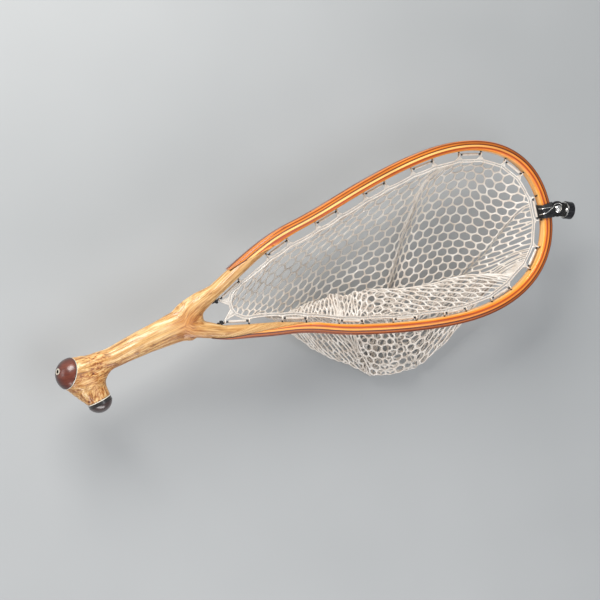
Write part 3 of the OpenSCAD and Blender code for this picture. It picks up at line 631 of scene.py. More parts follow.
ant = bpy.data.objects.new("antler_body", nodes["antler_handle"].data.copy())
scene.collection.objects.link(ant)
rm = ant.modifiers.new("remesh", "REMESH")
rm.mode = "VOXEL"
rm.voxel_size = 0.00078
rm.adaptivity = 0.0
apply_modifiers(ant)
me = ant.data
co = coords(me)
ed = edge_array(me)
hoop = co * 1000 - SHIFT                          # back to hoop mm
# s and w of each vertex against the inner face, to leave the bow seats and end faces flat
stt = np.concatenate([np.arange(-470, -320, 1.0), np.arange(320, 470, 1.0)])
pp, nn = P(stt), N(stt)
near_seat = np.full(len(hoop), 99.0)
for a in range(0, len(hoop), 20000):
    q = hoop[a:a + 20000, :2]
    d = np.linalg.norm(q[:, None] - pp[None], axis=2)
    k = d.argmin(1)
    w = np.sum((q - pp[k]) * nn[k], 1)
    near_seat[a:a + 20000] = np.where(d[np.arange(len(q)), k] < 30, np.abs(w - scarf(stt[k])), 99.0)
to_butt = (BUTT_FACE - hoop) @ BUTT_N
to_tine = (TINE_FACE - hoop) @ TINE_N
free = smooth(near_seat, 0.9, 3.0) * smooth(to_butt, 0.6, 3.0) * smooth(to_tine, 0.6, 3.0)
deg = np.bincount(ed.ravel(), minlength=len(co)).astype(float)[:, None]


def laplace(c, amount, times, mask):
    for _ in range(times):
        acc = np.zeros_like(c)
        np.add.at(acc, ed[:, 0], c[ed[:, 1]])
        np.add.at(acc, ed[:, 1], c[ed[:, 0]])
        c = c + (acc / deg - c) * amount * mask[:, None]
    return c


# the brow crotch and the fork are worn round
x_, y_, z_ = hoop.T
hollow = np.maximum(np.exp(-(((x_ + 130) / 9) ** 2 + ((y_ + 31) / 9) ** 2)), np.exp(-(((x_ + 30) / 13) ** 2 + ((y_ + 4) / 13) ** 2)))
hollow *= free
for _ in range(22):
    co = laplace(co, 0.8, 4, np.minimum(hollow * 1.2, 1.0))
soft_mask = np.maximum(free, 0.12)
for _ in range(14):
    co = laplace(co, 0.6, 2, soft_mask)
    co = laplace(co, -0.56, 1, soft_mask)
me.vertices.foreach_set("co", co.astype(np.float32).ravel())
me.update()
nrm = np.empty(len(co) * 3, np.float32)
me.vertices.foreach_get("normal", nrm)
nrm = nrm.reshape(-1, 3).astype(float)
hoop = co * 1000 - SHIFT
# flow coordinates: the antler's lengthwise direction straightened along X
x = hoop[:, 0]
far_x, far_y = zip(*([(-44, -5.9), (-36, 2.5), (-20, 10.4)] + [tuple(offp(s, float(out_w(s)) / 2)[0]) for s in (440, 415, 390, 361)]))
near_x, near_y = zip(*([(-44, -5.9), (-36, -13), (-20, -18.6)] + [tuple(offp(-s, float(out_w(s)) / 2)[0]) for s in (440, 415, 380, 337)]))
yc = np.interp(x, BEAM[:, 0], BEAM[:, 1])
split = 0.5 * (np.interp(x, far_x, far_y) + np.interp(x, near_x, near_y))
arm = np.where(hoop[:, 1] > split, np.interp(x, far_x, far_y), np.interp(x, near_x, near_y))
yc = np.where(x > -44, arm, yc)
tine_w = smooth(-hoop[:, 1], 26, 40)              # the brow tine runs along its own axis
flow = np.stack([x, hoop[:, 1] - yc, hoop[:, 2]], 1)
tflow = np.stack([-(hoop[:, 1]), hoop[:, 0] + 146, hoop[:, 2]], 1)
flow = flow * (1 - tine_w[:, None]) + tflow * tine_w[:, None]
gnarl = smooth(-x, 122, 150)
crotch = np.exp(-((x + 38) / 16) ** 2 - ((hoop[:, 1] + 5) / 14) ** 2)


def nz(v, sc, seed):
    return np.array([noise.noise(Vector((p[0] * sc[0] + seed, p[1] * sc[1], p[2] * sc[2]))) for p in v])


ridge = nz(flow, (0.018, 0.26, 0.26), 3.1)
fine = nz(flow, (0.05, 0.62, 0.62), 17.7)
knob = nz(hoop, (0.16, 0.16, 0.16), 41.3)
disp = (-np.abs(ridge) * 1.0 + 0.25) * (1 - 0.3 * gnarl) + fine * 0.26 + knob * gnarl * 0.4 + nz(hoop, (0.03, 0.04, 0.04), 9.9) * 0.35
disp = np.clip(disp, -1.1, 0.75) * free
co = co + nrm * disp[:, None] * 0.001
me.vertices.foreach_set("co", co.astype(np.float32).ravel())
me.update()
att = me.attributes.new("flow", "FLOAT_VECTOR", "POINT")
att.data.foreach_set("vector", (flow * 0.001).astype(np.float32).ravel())
# mask: pitting and mottling at the butt and darker towards the butt are real; the mottling along the beam's -Y side
# also stands as painted shade on the side away from the light
att = me.attributes.new("stain_and_shade", "FLOAT", "POINT")
stain_and_shade_v = np.clip(0.9 * smooth(-x, 112, 140) * (0.6 + 0.8 * nz(hoop, (0.05, 0.05, 0.05), 5.5)) + 0.25 * smooth(-x, 60, 100)
                  + 0.62 * smooth(-flow[:, 1], -1.5, 6) * (1 - tine_w) * (0.7 + 0.7 * nz(hoop, (0.04, 0.05, 0.05), 8.5)), 0, 1)
att.data.foreach_set("value", stain_and_shade_v.astype(np.float32))
att = me.attributes.new("warm", "FLOAT", "POINT")
warm_v = np.clip(crotch * 0.9 + 0.25 * smooth(-disp, 0.2, 0.8) + 0.5 * smooth(x, -30, 30) * np.clip(nz(flow, (0.03, 0.1, 0.1), 23.0) + 0.3, 0, 1), 0, 1)
att.data.foreach_set("value", warm_v.astype(np.float32))
me.shade_smooth()
me.materials.clear()
me.materials.append(MATS["antler"])
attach(ant, "net")
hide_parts("antler_handle")

# ---------------------------------------------------------------- the net: rim band, tabs, and hexagonal basket
RIM_A = 420.0


def rim_in(a):
    return 10.5 - 3.4 * smooth(a, 330, 415)


def R(s, w=0.0):
    s = np.atleast_1d(np.asarray(s, float))
    near = 3.9 * smooth(-s, 85, 150) * (1 - smooth(-s, 330, 400))        # the rim is drawn closer to the bow along the -Y side
    return offp(s, -rim_in(np.abs(s)) + near + w)


e1, e2 = R(RIM_A)[0], R(-RIM_A)[0]
n1, n2 = N(RIM_A)[0], N(-RIM_A)[0]
rho = np.linalg.norm(e1 - e2) / 2 / abs(n1[1])
RC = (e1 - rho * n1 + e2 - rho * n2) / 2
th1 = math.atan2(*(e1 - RC)[::-1])
th2 = 2 * math.pi + math.atan2(*(e2 - RC)[::-1])
RHO = (np.linalg.norm(e1 - RC) + np.linalg.norm(e2 - RC)) / 2
lace_s = np.array([s for pr in PAIRS for s in pr if abs(s) < hole_b(7) - 1])


def scallop(s):
    """The rim is drawn out at its tabs and hangs in a little between them."""
    d = np.abs(np.asarray(s)[:, None] - lace_s[None]).min(1)
    return 0.8 * np.exp(-(d / 2.8) ** 2) - 0.35 * smooth(d, 5, 14)


ss = np.linspace(-RIM_A, RIM_A, 561)
main = R(ss, scallop(ss))
arc_t = np.linspace(th1, th2, 42)[1:-1]
arc = RC + RHO * np.stack([np.cos(arc_t), np.sin(arc_t)], 1)
rim2 = np.vstack([main, arc])                     # closed, from the -Y throat side round the tip and back
# smooth the closed loop's plan a little and give the rim a slight wave along Z
for _ in range(3):
    rim2 = 0.25 * np.roll(rim2, 1, 0) + 0.5 * rim2 + 0.25 * np.roll(rim2, -1, 0)
rim = np.zeros((len(rim2), 3))
rim[:, :2] = rim2
rim[:, 2] = -0.2 + 0.55 * np.sin(np.arange(len(rim)) * 2 * np.pi / 47.0) * (np.abs(np.concatenate([ss, np.full(len(arc), 430.0)])) > 25)

# cross-section: a flat band with a bead along each edge, 3.8 wide and 2 high; the band's width lies in the hoop's plane
bead = [(1.85, 0.0), (1.72, 0.50), (1.32, 0.70), (0.92, 0.46), (0.70, 0.24), (-0.70, 0.24), (-0.92, 0.46), (-1.32, 0.70), (-1.72, 0.50),
        (-1.85, 0.0), (-1.72, -0.50), (-1.32, -0.70), (-0.92, -0.46), (-0.70, -0.24), (0.70, -0.24), (0.92, -0.46), (1.32, -0.70), (1.72, -0.50)]
bead = np.array(bead)
t, up3, side3 = frames_along(rim, closed=True)
rings = rim[:, None] + bead[None, :, :1] * side3[:, None] + bead[None, :, 1:] * up3[:, None]
v, f = grid_tube(rings, closed_path=True)
parts = [(v, f)]


def tab(base_a, base_b, tip, lift):
    """Two tapered legs from the rim to an eye round the lacing, with a thin web between them."""
    out = []
    tip3 = np.array([tip[0], tip[1], 0.0])
    for b in (base_a, base_b):
        p = np.array([b, b * 0.55 + tip3 * 0.45 + [0, 0, lift * 0.4], tip3])
        p = resample(chaikin(p, 2), 0.9)
        k = np.linspace(0, 1, len(p))
        out.append(tube(p, 0.98 - 0.34 * k, 8))
    web_top, web_a, web_b = tip3 * 0.86 + (base_a + base_b) * 0.07, base_a, base_b
    tri = np.array([web_a, web_b, web_top])
    th = np.array([0, 0, 0.5])
    wv = np.vstack([tri + th, tri - th])
    area = np.cross(tri[1] - tri[0], tri[2] - tri[0])[2]
    wf = [(0, 1, 2), (5, 4, 3), (0, 3, 4, 1), (1, 4, 5, 2), (2, 5, 3, 0)]
    if area < 0:
        wf = [tuple(reversed(q)) for q in wf]
    out.append((wv, wf))
    return out


def eye(center, along, r_major=1.7, r_minor=0.78):
    """A moulded ring round the lacing tube; its axis lies along the lacing."""
    a = np.linspace(0, 2 * np.pi, 18, endpoint=False)
    al = np.array([along[0], along[1], 0.0])
    al /= np.linalg.norm(al)
    q = np.cross((0, 0, 1.0), al)
    path = np.array([center[0], center[1], 0.0]) + r_major * (np.cos(a)[:, None] * q + np.sin(a)[:, None] * np.array([0, 0, 1.0]))
    return tube(path, r_minor, 8, closed=True, up=al)


rim_s = np.concatenate([ss, np.full(len(arc), 999.0)])
for s in lace_s:
    ia, ib = np.abs(rim_s - (s - 3.2)).argmin(), np.abs(rim_s - (s + 3.2)).argmin()
    n3 = np.array([*N(s)[0], 0.0])
    w = lace_in(s)
    tip = offp(s, w - 1.75)[0]
    parts += tab(rim[ia] + n3 * 1.3, rim[ib] + n3 * 1.3, tip, 0.5 * math.sin(s))
    parts.append(eye(offp(s, w)[0], P(s + 1)[0] - P(s - 1)[0]))
for sg in (-1, 1):
    s = sg * hole_b(7)
    w = lace_in(s)
    tip = offp(s, w - 1.9)[0]
    th = math.atan2(tip[1] - RC[1], tip[0] - RC[0]) % (2 * math.pi)
    ends = []
    for dth in (-0.19, 0.19):
        b = RC + (RHO + 1.3) * np.array([math.cos(th + dth), math.sin(th + dth)])
        ends.append(np.array([*b, -0.2]))
    parts += tab(ends[0], ends[1], tip, 0.0)
    parts.append(eye(offp(s, w)[0], P(s + 1)[0] - P(s - 1)[0]))
v, f = join(parts)
rim_ob = add_mesh("net_rim", v, f, MATS["net_rubber"], smooth_angle=None)
rim_ob.data.materials.append(MATS["net_clear"])
web = set()
for i in range(len(rim)):
    for k in (4, 13):
        web.add(i * len(bead) + k)
for pl in rim_ob.data.polygons:
    if pl.index < len(rim) * len(bead) and pl.index in web:
        pl.material_index = 1
fix_normals(rim_ob)
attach(rim_ob, "net")

# ---- the basket's surface: for each station x across the mouth, a hanging profile from the upper rim to the lower
ux = rim2[:, 0]
i_l, i_r = ux.argmin(), ux.argmax()
loop = np.roll(rim2, -i_l, 0)
k_r = (i_r - i_l) % len(rim2)
low, upp = loop[:k_r + 1], np.vstack([loop[k_r:], loop[:1]])[::-1]
if low[len(low) // 2, 1] > upp[len(upp) // 2, 1]:
    low, upp = upp, low
XL, XR = loop[0, 0], loop[k_r, 0]


def mono(c):
    xx = np.maximum.accumulate(c[:, 0])
    return xx + np.arange(len(xx)) * 1e-7, c[:, 1]


UX, UY = mono(upp)
LX, LY = mono(low)
tab_x = [XL, 34, 60, 90, 120, 180, 240, 300, 340, 358, XR]
bot_x = [XL, 40, 66, 92, 116, 164, 209, 254, 296, 326, 352]
con_x = [XL, 40, 66, 85, 114, 145, 172, 195, 220, 257, 292, 326, 352]
con_y = [-3, -27, -50, -73, -98, -121, -137, -143, -144, -131, -116, -88, -50]
t1_x = [XL, 45, 97, 152, 209, 271, 323, 352, XR]
t1_y = [-4, -6, -14, -26, -40, -45, -40, -34, -16]
t2_y = [-6, -24, -41, -56, -71, -75, -68, -50, -20]
SEG = [0.0, 0.14, 0.34, 0.56, 0.70, 0.76, 0.90, 1.0]   # r of each control point
NR = 241
rr = np.linspace(0, 1, NR)
nx_cols = 190
xc = np.linspace(XL + 0.2, XR - 0.2, nx_cols)


def spline(pts, r):
    """Catmull-Rom through pts at parameters SEG."""
    k = np.clip(np.searchsorted(SEG, r, side="right") - 1, 0, len(SEG) - 2)
    q = np.vstack([2 * pts[0] - pts[1], pts, 2 * pts[-1] - pts[-2]])
    sg = np.array(SEG)
    t = ((r - sg[k]) / (sg[k + 1] - sg[k]))[:, None]
    p0, p1, p2, p3 = q[k], q[k + 1], q[k + 2], q[k + 3]
    return 0.5 * ((2 * p1) + (-p0 + p2) * t + (2 * p0 - 5 * p1 + 4 * p2 - p3) * t ** 2 + (-p0 + 3 * p1 - 3 * p2 + p3) * t ** 3)


surf = np.zeros((nx_cols, NR, 3))
for i, xx in enumerate(xc):
    yu, yl = np.interp(xx, UX, UY), np.interp(xx, LX, LY)
    xb = np.interp(xx, tab_x, bot_x)
    yb = np.interp(xb, con_x, con_y)
    k = float(smooth(xx, 14, 80) * (1 - 0.86 * smooth(xx, 322, XR - 4)))
    dz = 0.45 + 0.55 * float(smooth(xx, 20, 150))
    xt = 0.62 * xx + 0.38 * xb
    y1, y2 = np.interp(xt, t1_x, t1_y), np.interp(xt, t1_x, t2_y)
    full = np.array([
        [xx, yu, -0.2],
        [xx * 0.94 + xb * 0.06, yu - 0.07 * (yu - yb), -22 * dz],
        [xx * 0.66 + xb * 0.34, yu * 0.66 + yb * 0.34, -47 * dz],
        [xb, yb, -59 * dz],
        [xt * 0.6 + xb * 0.4, y2, -45 * dz],
        [xt * 0.7 + xb * 0.3, y2 - 9, -41 * dz],
        [xt, y1, -29 * dz],
        [xx, yl, -0.2]])
    ch = yu - yl
    fl = np.array([[xx, yu, -0.2]] + [[xx - 3 * math.sin(math.pi * q), yu - ch * q - 0.10 * ch * math.sin(math.pi * q), -0.2 - (4 + 0.20 * ch) * math.sin(math.pi * q)]
                                       for q in (0.16, 0.36, 0.58, 0.72, 0.78, 0.9)] + [[xx, yl, -0.2]])
    surf[i] = spline(fl * (1 - k) + full * k, rr)
# round the folds along the profile and across the stations
ker = np.exp(-0.5 * (np.arange(-9, 10) / 3.2) ** 2)
ker /= ker.sum()
sm = surf.copy()
for c in range(3):
    pad = np.pad(surf[:, :, c], ((9, 9), (0, 0)), mode="reflect", reflect_type="odd")
    sm[:, :, c] = np.stack([np.convolve(pad[:, j], ker, mode="valid") for j in range(NR)], 1)
    pad = np.pad(sm[:, :, c], ((0, 0), (9, 9)), mode="reflect", reflect_type="odd")
    sm[:, :, c] = np.stack([np.convolve(pad[j], ker, mode="valid") for j in range(nx_cols)], 0)
edge_fade = (smooth(rr, 0, 0.06) * (1 - smooth(rr, 0.94, 1)))[None, :, None]
surf = surf * (1 - edge_fade) + sm * edge_fade
sigma = 1.0 - 0.30 * smooth(rr, 0.12, 0.5) + 0.02 * smooth(rr, 0.75, 1.0)       # cells are smaller in the floor
step = np.linalg.norm(np.diff(surf, axis=1), axis=2) / (0.5 * (sigma[1:] + sigma[:-1]))[None]
step = step * (1 + 0.17 * (1 - smooth(xc, 150, 262)))[:, None]                      # towards the throat the cells lie flatter
lam = np.concatenate([np.zeros((nx_cols, 1)), np.cumsum(step, axis=1)], 1)
base_y = np.where(xc < 285, np.interp(xc, UX, UY), 0)
y285 = np.interp(285, UX, UY)
base_y = np.where(xc < 285, base_y, y285 - 0.29 * (xc - 285))
start = np.maximum(0, base_y - np.interp(xc, UX, UY)) * 1.05
# the lattice's X follows the sheet's own width from column to column, so that its cells keep their shape where it
# climbs towards the tip
tang = np.gradient(surf, axis=1)
tang /= np.maximum(np.linalg.norm(tang, axis=2), 1e-9)[:, :, None]
dcol = np.diff(surf, axis=0)
tmid = 0.5 * (tang[1:] + tang[:-1])
perp = np.linalg.norm(dcol - tmid * np.sum(dcol * tmid, 2)[:, :, None], axis=2)[:, int(0.08 * NR):int(0.55 * NR)].mean(1)
perp = np.clip(perp / np.diff(xc), 0.8, 2.6) * np.diff(xc)
SX = XL + np.concatenate([[0], np.cumsum(perp)])


def on_sheet(x, r):
    i, fr = col_index(np.array([float(x)]))
    a, f_ = int(i[0]), float(fr[0])
    l = lam[a] * (1 - f_) + lam[a + 1] * f_
    return np.array([np.interp(x, xc, SX), start[a] * (1 - f_) + start[a + 1] * f_ + np.interp(r, rr, l)])


def col_index(x):
    q = np.clip((x - xc[0]) / (xc[-1] - xc[0]) * (nx_cols - 1), 0, nx_cols - 1.001)
    i = q.astype(int)
    return i, q - i


# creases in the sheet: (two places on it as (x, r), width, cloth taken up, depth)
PLEATS = []
for (xa, ra), (xb_, rb), wd, take, dep in (((285.6, 0.0), (225.0, 0.42), 88.0, 56.0, 16.0), ((367.0, 0.42), (312.0, 0.47), 34.0, 22.0, 11.0)):
    pa, pb = on_sheet(xa, ra), on_sheet(xb_, rb)
    dr = (pb - pa) / np.linalg.norm(pb - pa)
    nrm2 = np.array([-dr[1], dr[0]])
    if nrm2[0] < 0:
        nrm2 = -nrm2
    PLEATS.append((pa + nrm2 * take / 2, nrm2, wd, take, dep))
TAKE = sum(q[3] for q in PLEATS)


def to_x(X, Y):
    """Fold the flat lattice onto the sheet: place across, place along, drop of the crease, and the crease's line."""
    x, y = X.copy(), Y.copy()
    z = np.zeros_like(X)
    band = np.zeros_like(X)
    for a_, n_, wd, take, dep in PLEATS:
        u = np.clip(((x - a_[0]) * n_[0] + (y - a_[1]) * n_[1]) / wd + 0.5, 0, 1)
        q = 0.18                                  # the cloth is taken up evenly across the crease, softly at its sides
        sh = take * np.where(u < q, u * u / (2 * q), np.where(u > 1 - q, (1 - q) - (1 - u) ** 2 / (2 * q), u - q / 2)) / (1 - q)
        x, y = x - sh * n_[0], y - sh * n_[1]
        z -= dep * np.sin(np.pi * u) ** 2
        band = np.maximum(band, np.sin(np.pi * u))
    return np.interp(x, SX, xc, left=-999.0, right=9999.0), y, z, band


def inside(X, Y):
    x, y, _, _ = to_x(X, Y)
    i, fr = col_index(x)
    st = start[i] * (1 - fr) + start[i + 1] * fr
    en = lam[i, -1] * (1 - fr) + lam[i + 1, -1] * fr
    return (x > xc[0]) & (x < xc[-1]) & (y > st) & (y < st + en)


def evaluate(X, Y):
    x, y, zp, band = to_x(X, Y)
    x = np.clip(x, xc[0], xc[-1])
    i, fr = col_index(x)
    out = np.zeros((len(X), 3))
    rv = np.zeros(len(X))
    for n_ in range(len(X)):
        a, t_ = i[n_], fr[n_]
        l = lam[a] * (1 - t_) + lam[a + 1] * t_
        s0 = start[a] * (1 - t_) + start[a + 1] * t_
        r = np.interp(y[n_] - s0, l, rr)
        j = min(int(r * (NR - 1)), NR - 2)
        g_ = r * (NR - 1) - j
        row0 = surf[a, j] * (1 - g_) + surf[a, j + 1] * g_
        row1 = surf[a + 1, j] * (1 - g_) + surf[a + 1, j + 1] * g_
        out[n_] = row0 * (1 - t_) + row1 * t_
        rv[n_] = r
    fade = smooth(rv, 0.03, 0.16) * (1 - smooth(rv, 0.55, 0.72))
    out[:, 2] += zp * fade * 0.75
    return out, rv, band * fade


PITCH = 13.2
ROW = PITCH * math.sqrt(3) / 2
max_y = (start + lam[:, -1]).max()
ids, pts2 = {}, []
n_rows, n_cols = int((max_y + TAKE) / ROW) + 4, int((SX[-1] - XL + TAKE) / PITCH) + 6
# centres of the hexagons: pointy-top lattice; vertices hang above and below each centre
edges = set()


def vid(kx, ky):
    key = (kx, ky)
    if key not in ids:
        ids[key] = len(pts2)
        pts2.append((kx * PITCH / 2, ky * PITCH / (2 * math.sqrt(3))))
    return ids[key]


for r_ in range(-2, n_rows):
    for c_ in range(-3, n_cols):
        cx, cy = 2 * c_ + (r_ % 2), 3 * r_
        ring = [(cx, cy - 2), (cx + 1, cy - 1), (cx + 1, cy + 1), (cx, cy + 2), (cx - 1, cy + 1), (cx - 1, cy - 1)]
        vi = [vid(*q) for q in ring]
        for a in range(6):
            p_, q_ = vi[a], vi[(a + 1) % 6]
            edges.add((min(p_, q_), max(p_, q_)))
pts2 = np.array(pts2) + np.array([XL - 2.0, -2.2])
edges = np.array(sorted(edges))
ins = inside(pts2[:, 0], pts2[:, 1])
new_pts, new_edges, rim_node = [], [], []
remap = -np.ones(len(pts2), int)
for i in np.nonzero(ins)[0]:
    remap[i] = len(new_pts)
    new_pts.append(pts2[i])
    rim_node.append(False)
for a, b in edges:
    if ins[a] and ins[b]:
        new_edges.append((remap[a], remap[b]))
    elif ins[a] != ins[b]:
        p_in, p_out = (pts2[a], pts2[b]) if ins[a] else (pts2[b], pts2[a])
        lo_, hi_ = 0.0, 1.0
        for _ in range(14):
            mid = 0.5 * (lo_ + hi_)
            q = p_in + (p_out - p_in) * mid
            if inside(q[:1], q[1:])[0]:
                lo_ = mid
            else:
                hi_ = mid
        q = p_in + (p_out - p_in) * lo_
        new_edges.append((remap[a] if ins[a] else remap[b], len(new_pts)))
        new_pts.append(q)
        rim_node.append(True)
pts2 = np.array(new_pts)
E = np.array(new_edges)
rim_node = np.array(rim_node)
pos, rv, band = evaluate(pts2[:, 0], pts2[:, 1])
# rim nodes land on the rim's own line
for i in np.nonzero(rim_node)[0]:
    d = np.linalg.norm(rim[:, :2] - pos[i, :2], axis=1) + 0.3 * abs(pos[i, 2])
    pos[i] = rim[d.argmin()]
sig_n = np.interp(rv, rr, sigma)
# unevenness of a soft net: a little everywhere, more where it lies in folds
amp = smooth(rv, 0.02, 0.15) * (1 - smooth(rv, 0.93, 1.0))
fold = smooth(rv, 0.5, 0.66) * (1 - smooth(rv, 0.93, 1.0))
nv3 = np.zeros_like(pos)
for c, sd in ((0, 1.3), (1, 7.9), (2, 15.1)):
    w1 = np.array([noise.noise(Vector((p[0] * 0.021 + sd, p[1] * 0.021, sd))) for p in pts2])
    w2 = np.array([noise.noise(Vector((p[0] * 0.055 + sd, p[1] * 0.055, sd * 2))) for p in pts2])
    nv3[:, c] = w1 * (3.0 if c < 2 else 5.0) * amp + w2 * (4.5 if c < 2 else 6.0) * fold
pos = pos + nv3 * (~rim_node)[:, None]
target = pos.copy()
rest = (PITCH / math.sqrt(3)) * 0.5 * (sig_n[E[:, 0]] + sig_n[E[:, 1]])
cut_len = np.linalg.norm(pts2[E[:, 0]] - pts2[E[:, 1]], axis=1) / (PITCH / math.sqrt(3))
rest = rest * cut_len
# the rubber has taken a set in the creases: their cells stay narrow
wb = np.clip(1.6 * 0.5 * (band[E[:, 0]] + band[E[:, 1]]), 0, 1)
rest = rest * (1 - wb) + np.minimum(rest, np.linalg.norm(pos[E[:, 0]] - pos[E[:, 1]], axis=1)) * wb
bandn = band[:, None]
degn = np.bincount(E.ravel(), minlength=len(pos)).astype(float)[:, None]
fixed = rim_node[:, None]
GRAV = np.array([-0.28, -0.957, 0.07])
for it in range(120):
    prev = pos
    d = pos[E[:, 1]] - pos[E[:, 0]]
    L = np.linalg.norm(d, axis=1)
    over = np.where(L > rest, 0.55, 0.25) * (L - rest) / np.maximum(L, 1e-6)
    c = d * over[:, None] * 0.5
    acc = np.zeros_like(pos)
    np.add.at(acc, E[:, 0], c)
    np.add.at(acc, E[:, 1], -c)
    avg = np.zeros_like(pos)
    np.add.at(avg, E[:, 0], pos[E[:, 1]])
    np.add.at(avg, E[:, 1], pos[E[:, 0]])
    lap = avg / degn - pos
    pos = pos + acc * 0.9 + 0.12 * (1 - 0.7 * bandn) * lap + (0.05 + 0.10 * bandn) * (target - pos) + 0.02 * GRAV
    pos[:, 2] = np.maximum(pos[:, 2], -64.5)
    pos = np.where(fixed, prev, pos)
print("net nodes", len(pos), "struts", len(E))

# ---- build the struts as one closed skin: three-way junctions joined by four-sided tubes, then one subdivision
nb = [[] for _ in range(len(pos))]
for e_, (a, b) in enumerate(E):
    nb[a].append(b)
    nb[b].append(a)
RAD = 1.42


def unit(v_):
    return v_ / max(np.linalg.norm(v_), 1e-9)


# normals propagated so that they agree across the whole sheet (the lattice's own orientation in the plane)
normals = np.zeros_like(pos)
order = {}
for i in range(len(pos)):
    if rim_node[i]:
        continue
    ang = [math.atan2(pts2[j, 1] - pts2[i, 1], pts2[j, 0] - pts2[i, 0]) for j in nb[i]]
    o_ = [nb[i][k] for k in np.argsort(ang)]
    order[i] = o_
    dd = [unit(pos[j] - pos[i]) for j in o_]
    nn_ = np.cross(dd[0], dd[1]) + np.cross(dd[1], dd[2]) + np.cross(dd[2], dd[0]) if len(o_) == 3 else np.array([0, 0, 1.0])
    normals[i] = nn_
for _ in range(3):
    acc = normals.copy()
    for a, b in E:
        acc[a] += 0.5 * normals[b]
        acc[b] += 0.5 * normals[a]
    normals = acc
normals /= np.maximum(np.linalg.norm(normals, axis=1), 1e-9)[:, None]
rad_n = RAD * (0.70 + 0.30 * sig_n)
V, F = [], []
top, bot, crot = {}, {}, {}
for i, o_ in order.items():
    p_, n_, r_ = pos[i], normals[i], rad_n[i] * 1.04
    top[i] = len(V)
    V.append(p_ + n_ * r_)
    bot[i] = len(V)
    V.append(p_ - n_ * r_)
    dirs = [unit(pos[j] - p_ - n_ * np.dot(pos[j] - p_, n_)) for j in o_]
    for a in range(len(o_)):
        b = (a + 1) % len(o_)
        bis = unit(dirs[a] + dirs[b])
        # the side the crotch lies on: counter-clockwise from a
        sd = np.cross(n_, dirs[a])
        cosh = float(np.clip(np.dot(dirs[a], dirs[b]), -1, 1))
        half_a = 0.5 * math.acos(cosh)
        if np.dot(bis, sd) < 0:
            bis = -bis
            half_a = math.pi - half_a
        if np.linalg.norm(dirs[a] + dirs[b]) < 0.05:
            bis = sd
        reach = rad_n[i] / max(math.sin(half_a), 0.42)
        crot[(i, o_[a])] = len(V)                 # left crotch of the strut towards o_[a]
        V.append(p_ + bis * min(reach, rad_n[i] * 2.0))
    for a in range(len(o_)):
        crot[(i, o_[a], "r")] = crot[(i, o_[a - 1])]
for a, b in E:
    if a not in order:
        a, b = b, a
    if a not in order:
        continue
    ra = [top[a], crot[(a, b)], bot[a], crot[(a, b, "r")]]
    d_ = unit(pos[b] - pos[a])
    nm = normals[a] + normals[b] if b in order else normals[a]
    nm = unit(nm - d_ * np.dot(nm, d_))
    sd = np.cross(nm, d_)
    mid_p = 0.5 * (pos[a] + pos[b])
    r_ = 0.5 * (rad_n[a] + rad_n[b]) * 0.97
    short = b in order and np.linalg.norm(pos[b] - pos[a]) < 6.0        # a short strut needs no ring at its middle
    mid_r = [len(V) + k for k in range(4)]
    if not short:
        V += [mid_p + nm * r_, mid_p + sd * r_, mid_p - nm * r_, mid_p - sd * r_]
    if b in order:
        rb = [top[b], crot[(b, a, "r")], bot[b], crot[(b, a)]]
    else:
        rb = [len(V) + k for k in range(4)]
        V += [pos[b] + nm * r_, pos[b] + sd * r_, pos[b] - nm * r_, pos[b] - sd * r_]
        F.append((rb[0], rb[3], rb[2], rb[1]))
    for q0, q1 in (((ra, rb),) if short else ((ra, mid_r), (mid_r, rb))):
        for k in range(4):
            l = (k + 1) % 4
            F.append((q0[k], q1[k], q1[l], q0[l]))
net = add_mesh("net_mesh", np.array(V), F, MATS["net_rubber"], smooth_angle=None)
fix_normals(net)
sub = net.modifiers.new("sub", "SUBSURF")
sub.levels = sub.render_levels = 1
apply_modifiers(net)
net.data.shade_smooth()
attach(net, "net")
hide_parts("rubber_net")

# ---------------------------------------------------------------- lacing: cord and knots
cord = [(*offp(-CORD_END, 6)[0], 0), (*offp(-CORD_END, -1.4)[0], 0)]
for i, (a, b) in enumerate(PAIRS):
    if i > 0:
        cord.append((*offp(a, float(out_w(abs(a))) - 1.1)[0], 0))
    cord += [(*offp(a, lace_in(a) + 1.0)[0], 0), (*(offp(a, lace_in(a))[0] * 0.93 + offp(b, lace_in(b))[0] * 0.07), 0),
             (*(offp(a, lace_in(a))[0] * 0.07 + offp(b, lace_in(b))[0] * 0.93), 0), (*offp(b, lace_in(b) + 1.0)[0], 0)]
    if i < len(PAIRS) - 1:
        c = PAIRS[i + 1][0]
        cord.append((*offp(b, float(out_w(abs(b))) - 1.1)[0], 0))
        for j in range(1, 8):
            s = b + (c - b) * j / 8
            cord.append((*offp(s, float(out_w(abs(s))) - 1.1)[0], 0))
cord += [(*offp(CORD_END, -1.4)[0], 0), (*offp(CORD_END, 6)[0], 0)]
cord = np.array(cord, float)
# extra points so that the corners round off only close to themselves
dense = []
for a, b in zip(cord[:-1], cord[1:]):
    l = np.linalg.norm(b - a)
    if l > 4:
        dense += [a, a + (b - a) * (1.3 / l), a + (b - a) * (1 - 1.3 / l)]
    else:
        dense += [a]
dense.append(cord[-1])
cp = resample(chaikin(np.array(dense), 2), 0.9)
sides = 9
ang = 2 * np.pi * np.arange(sides) / sides
tt, nr3, bn3 = frames_along(cp)
ph = np.arange(len(cp)) * 0.9 * 1.9
rad = 0.9 * (0.95 + 0.07 * np.cos(3 * ang[None] + ph[:, None]) * np.cos(3 * ang[None] - ph[:, None]))
rings = cp[:, None] + rad[:, :, None] * (np.cos(ang)[None, :, None] * nr3[:, None] + np.sin(ang)[None, :, None] * bn3[:, None])
parts = [grid_tube(rings)]


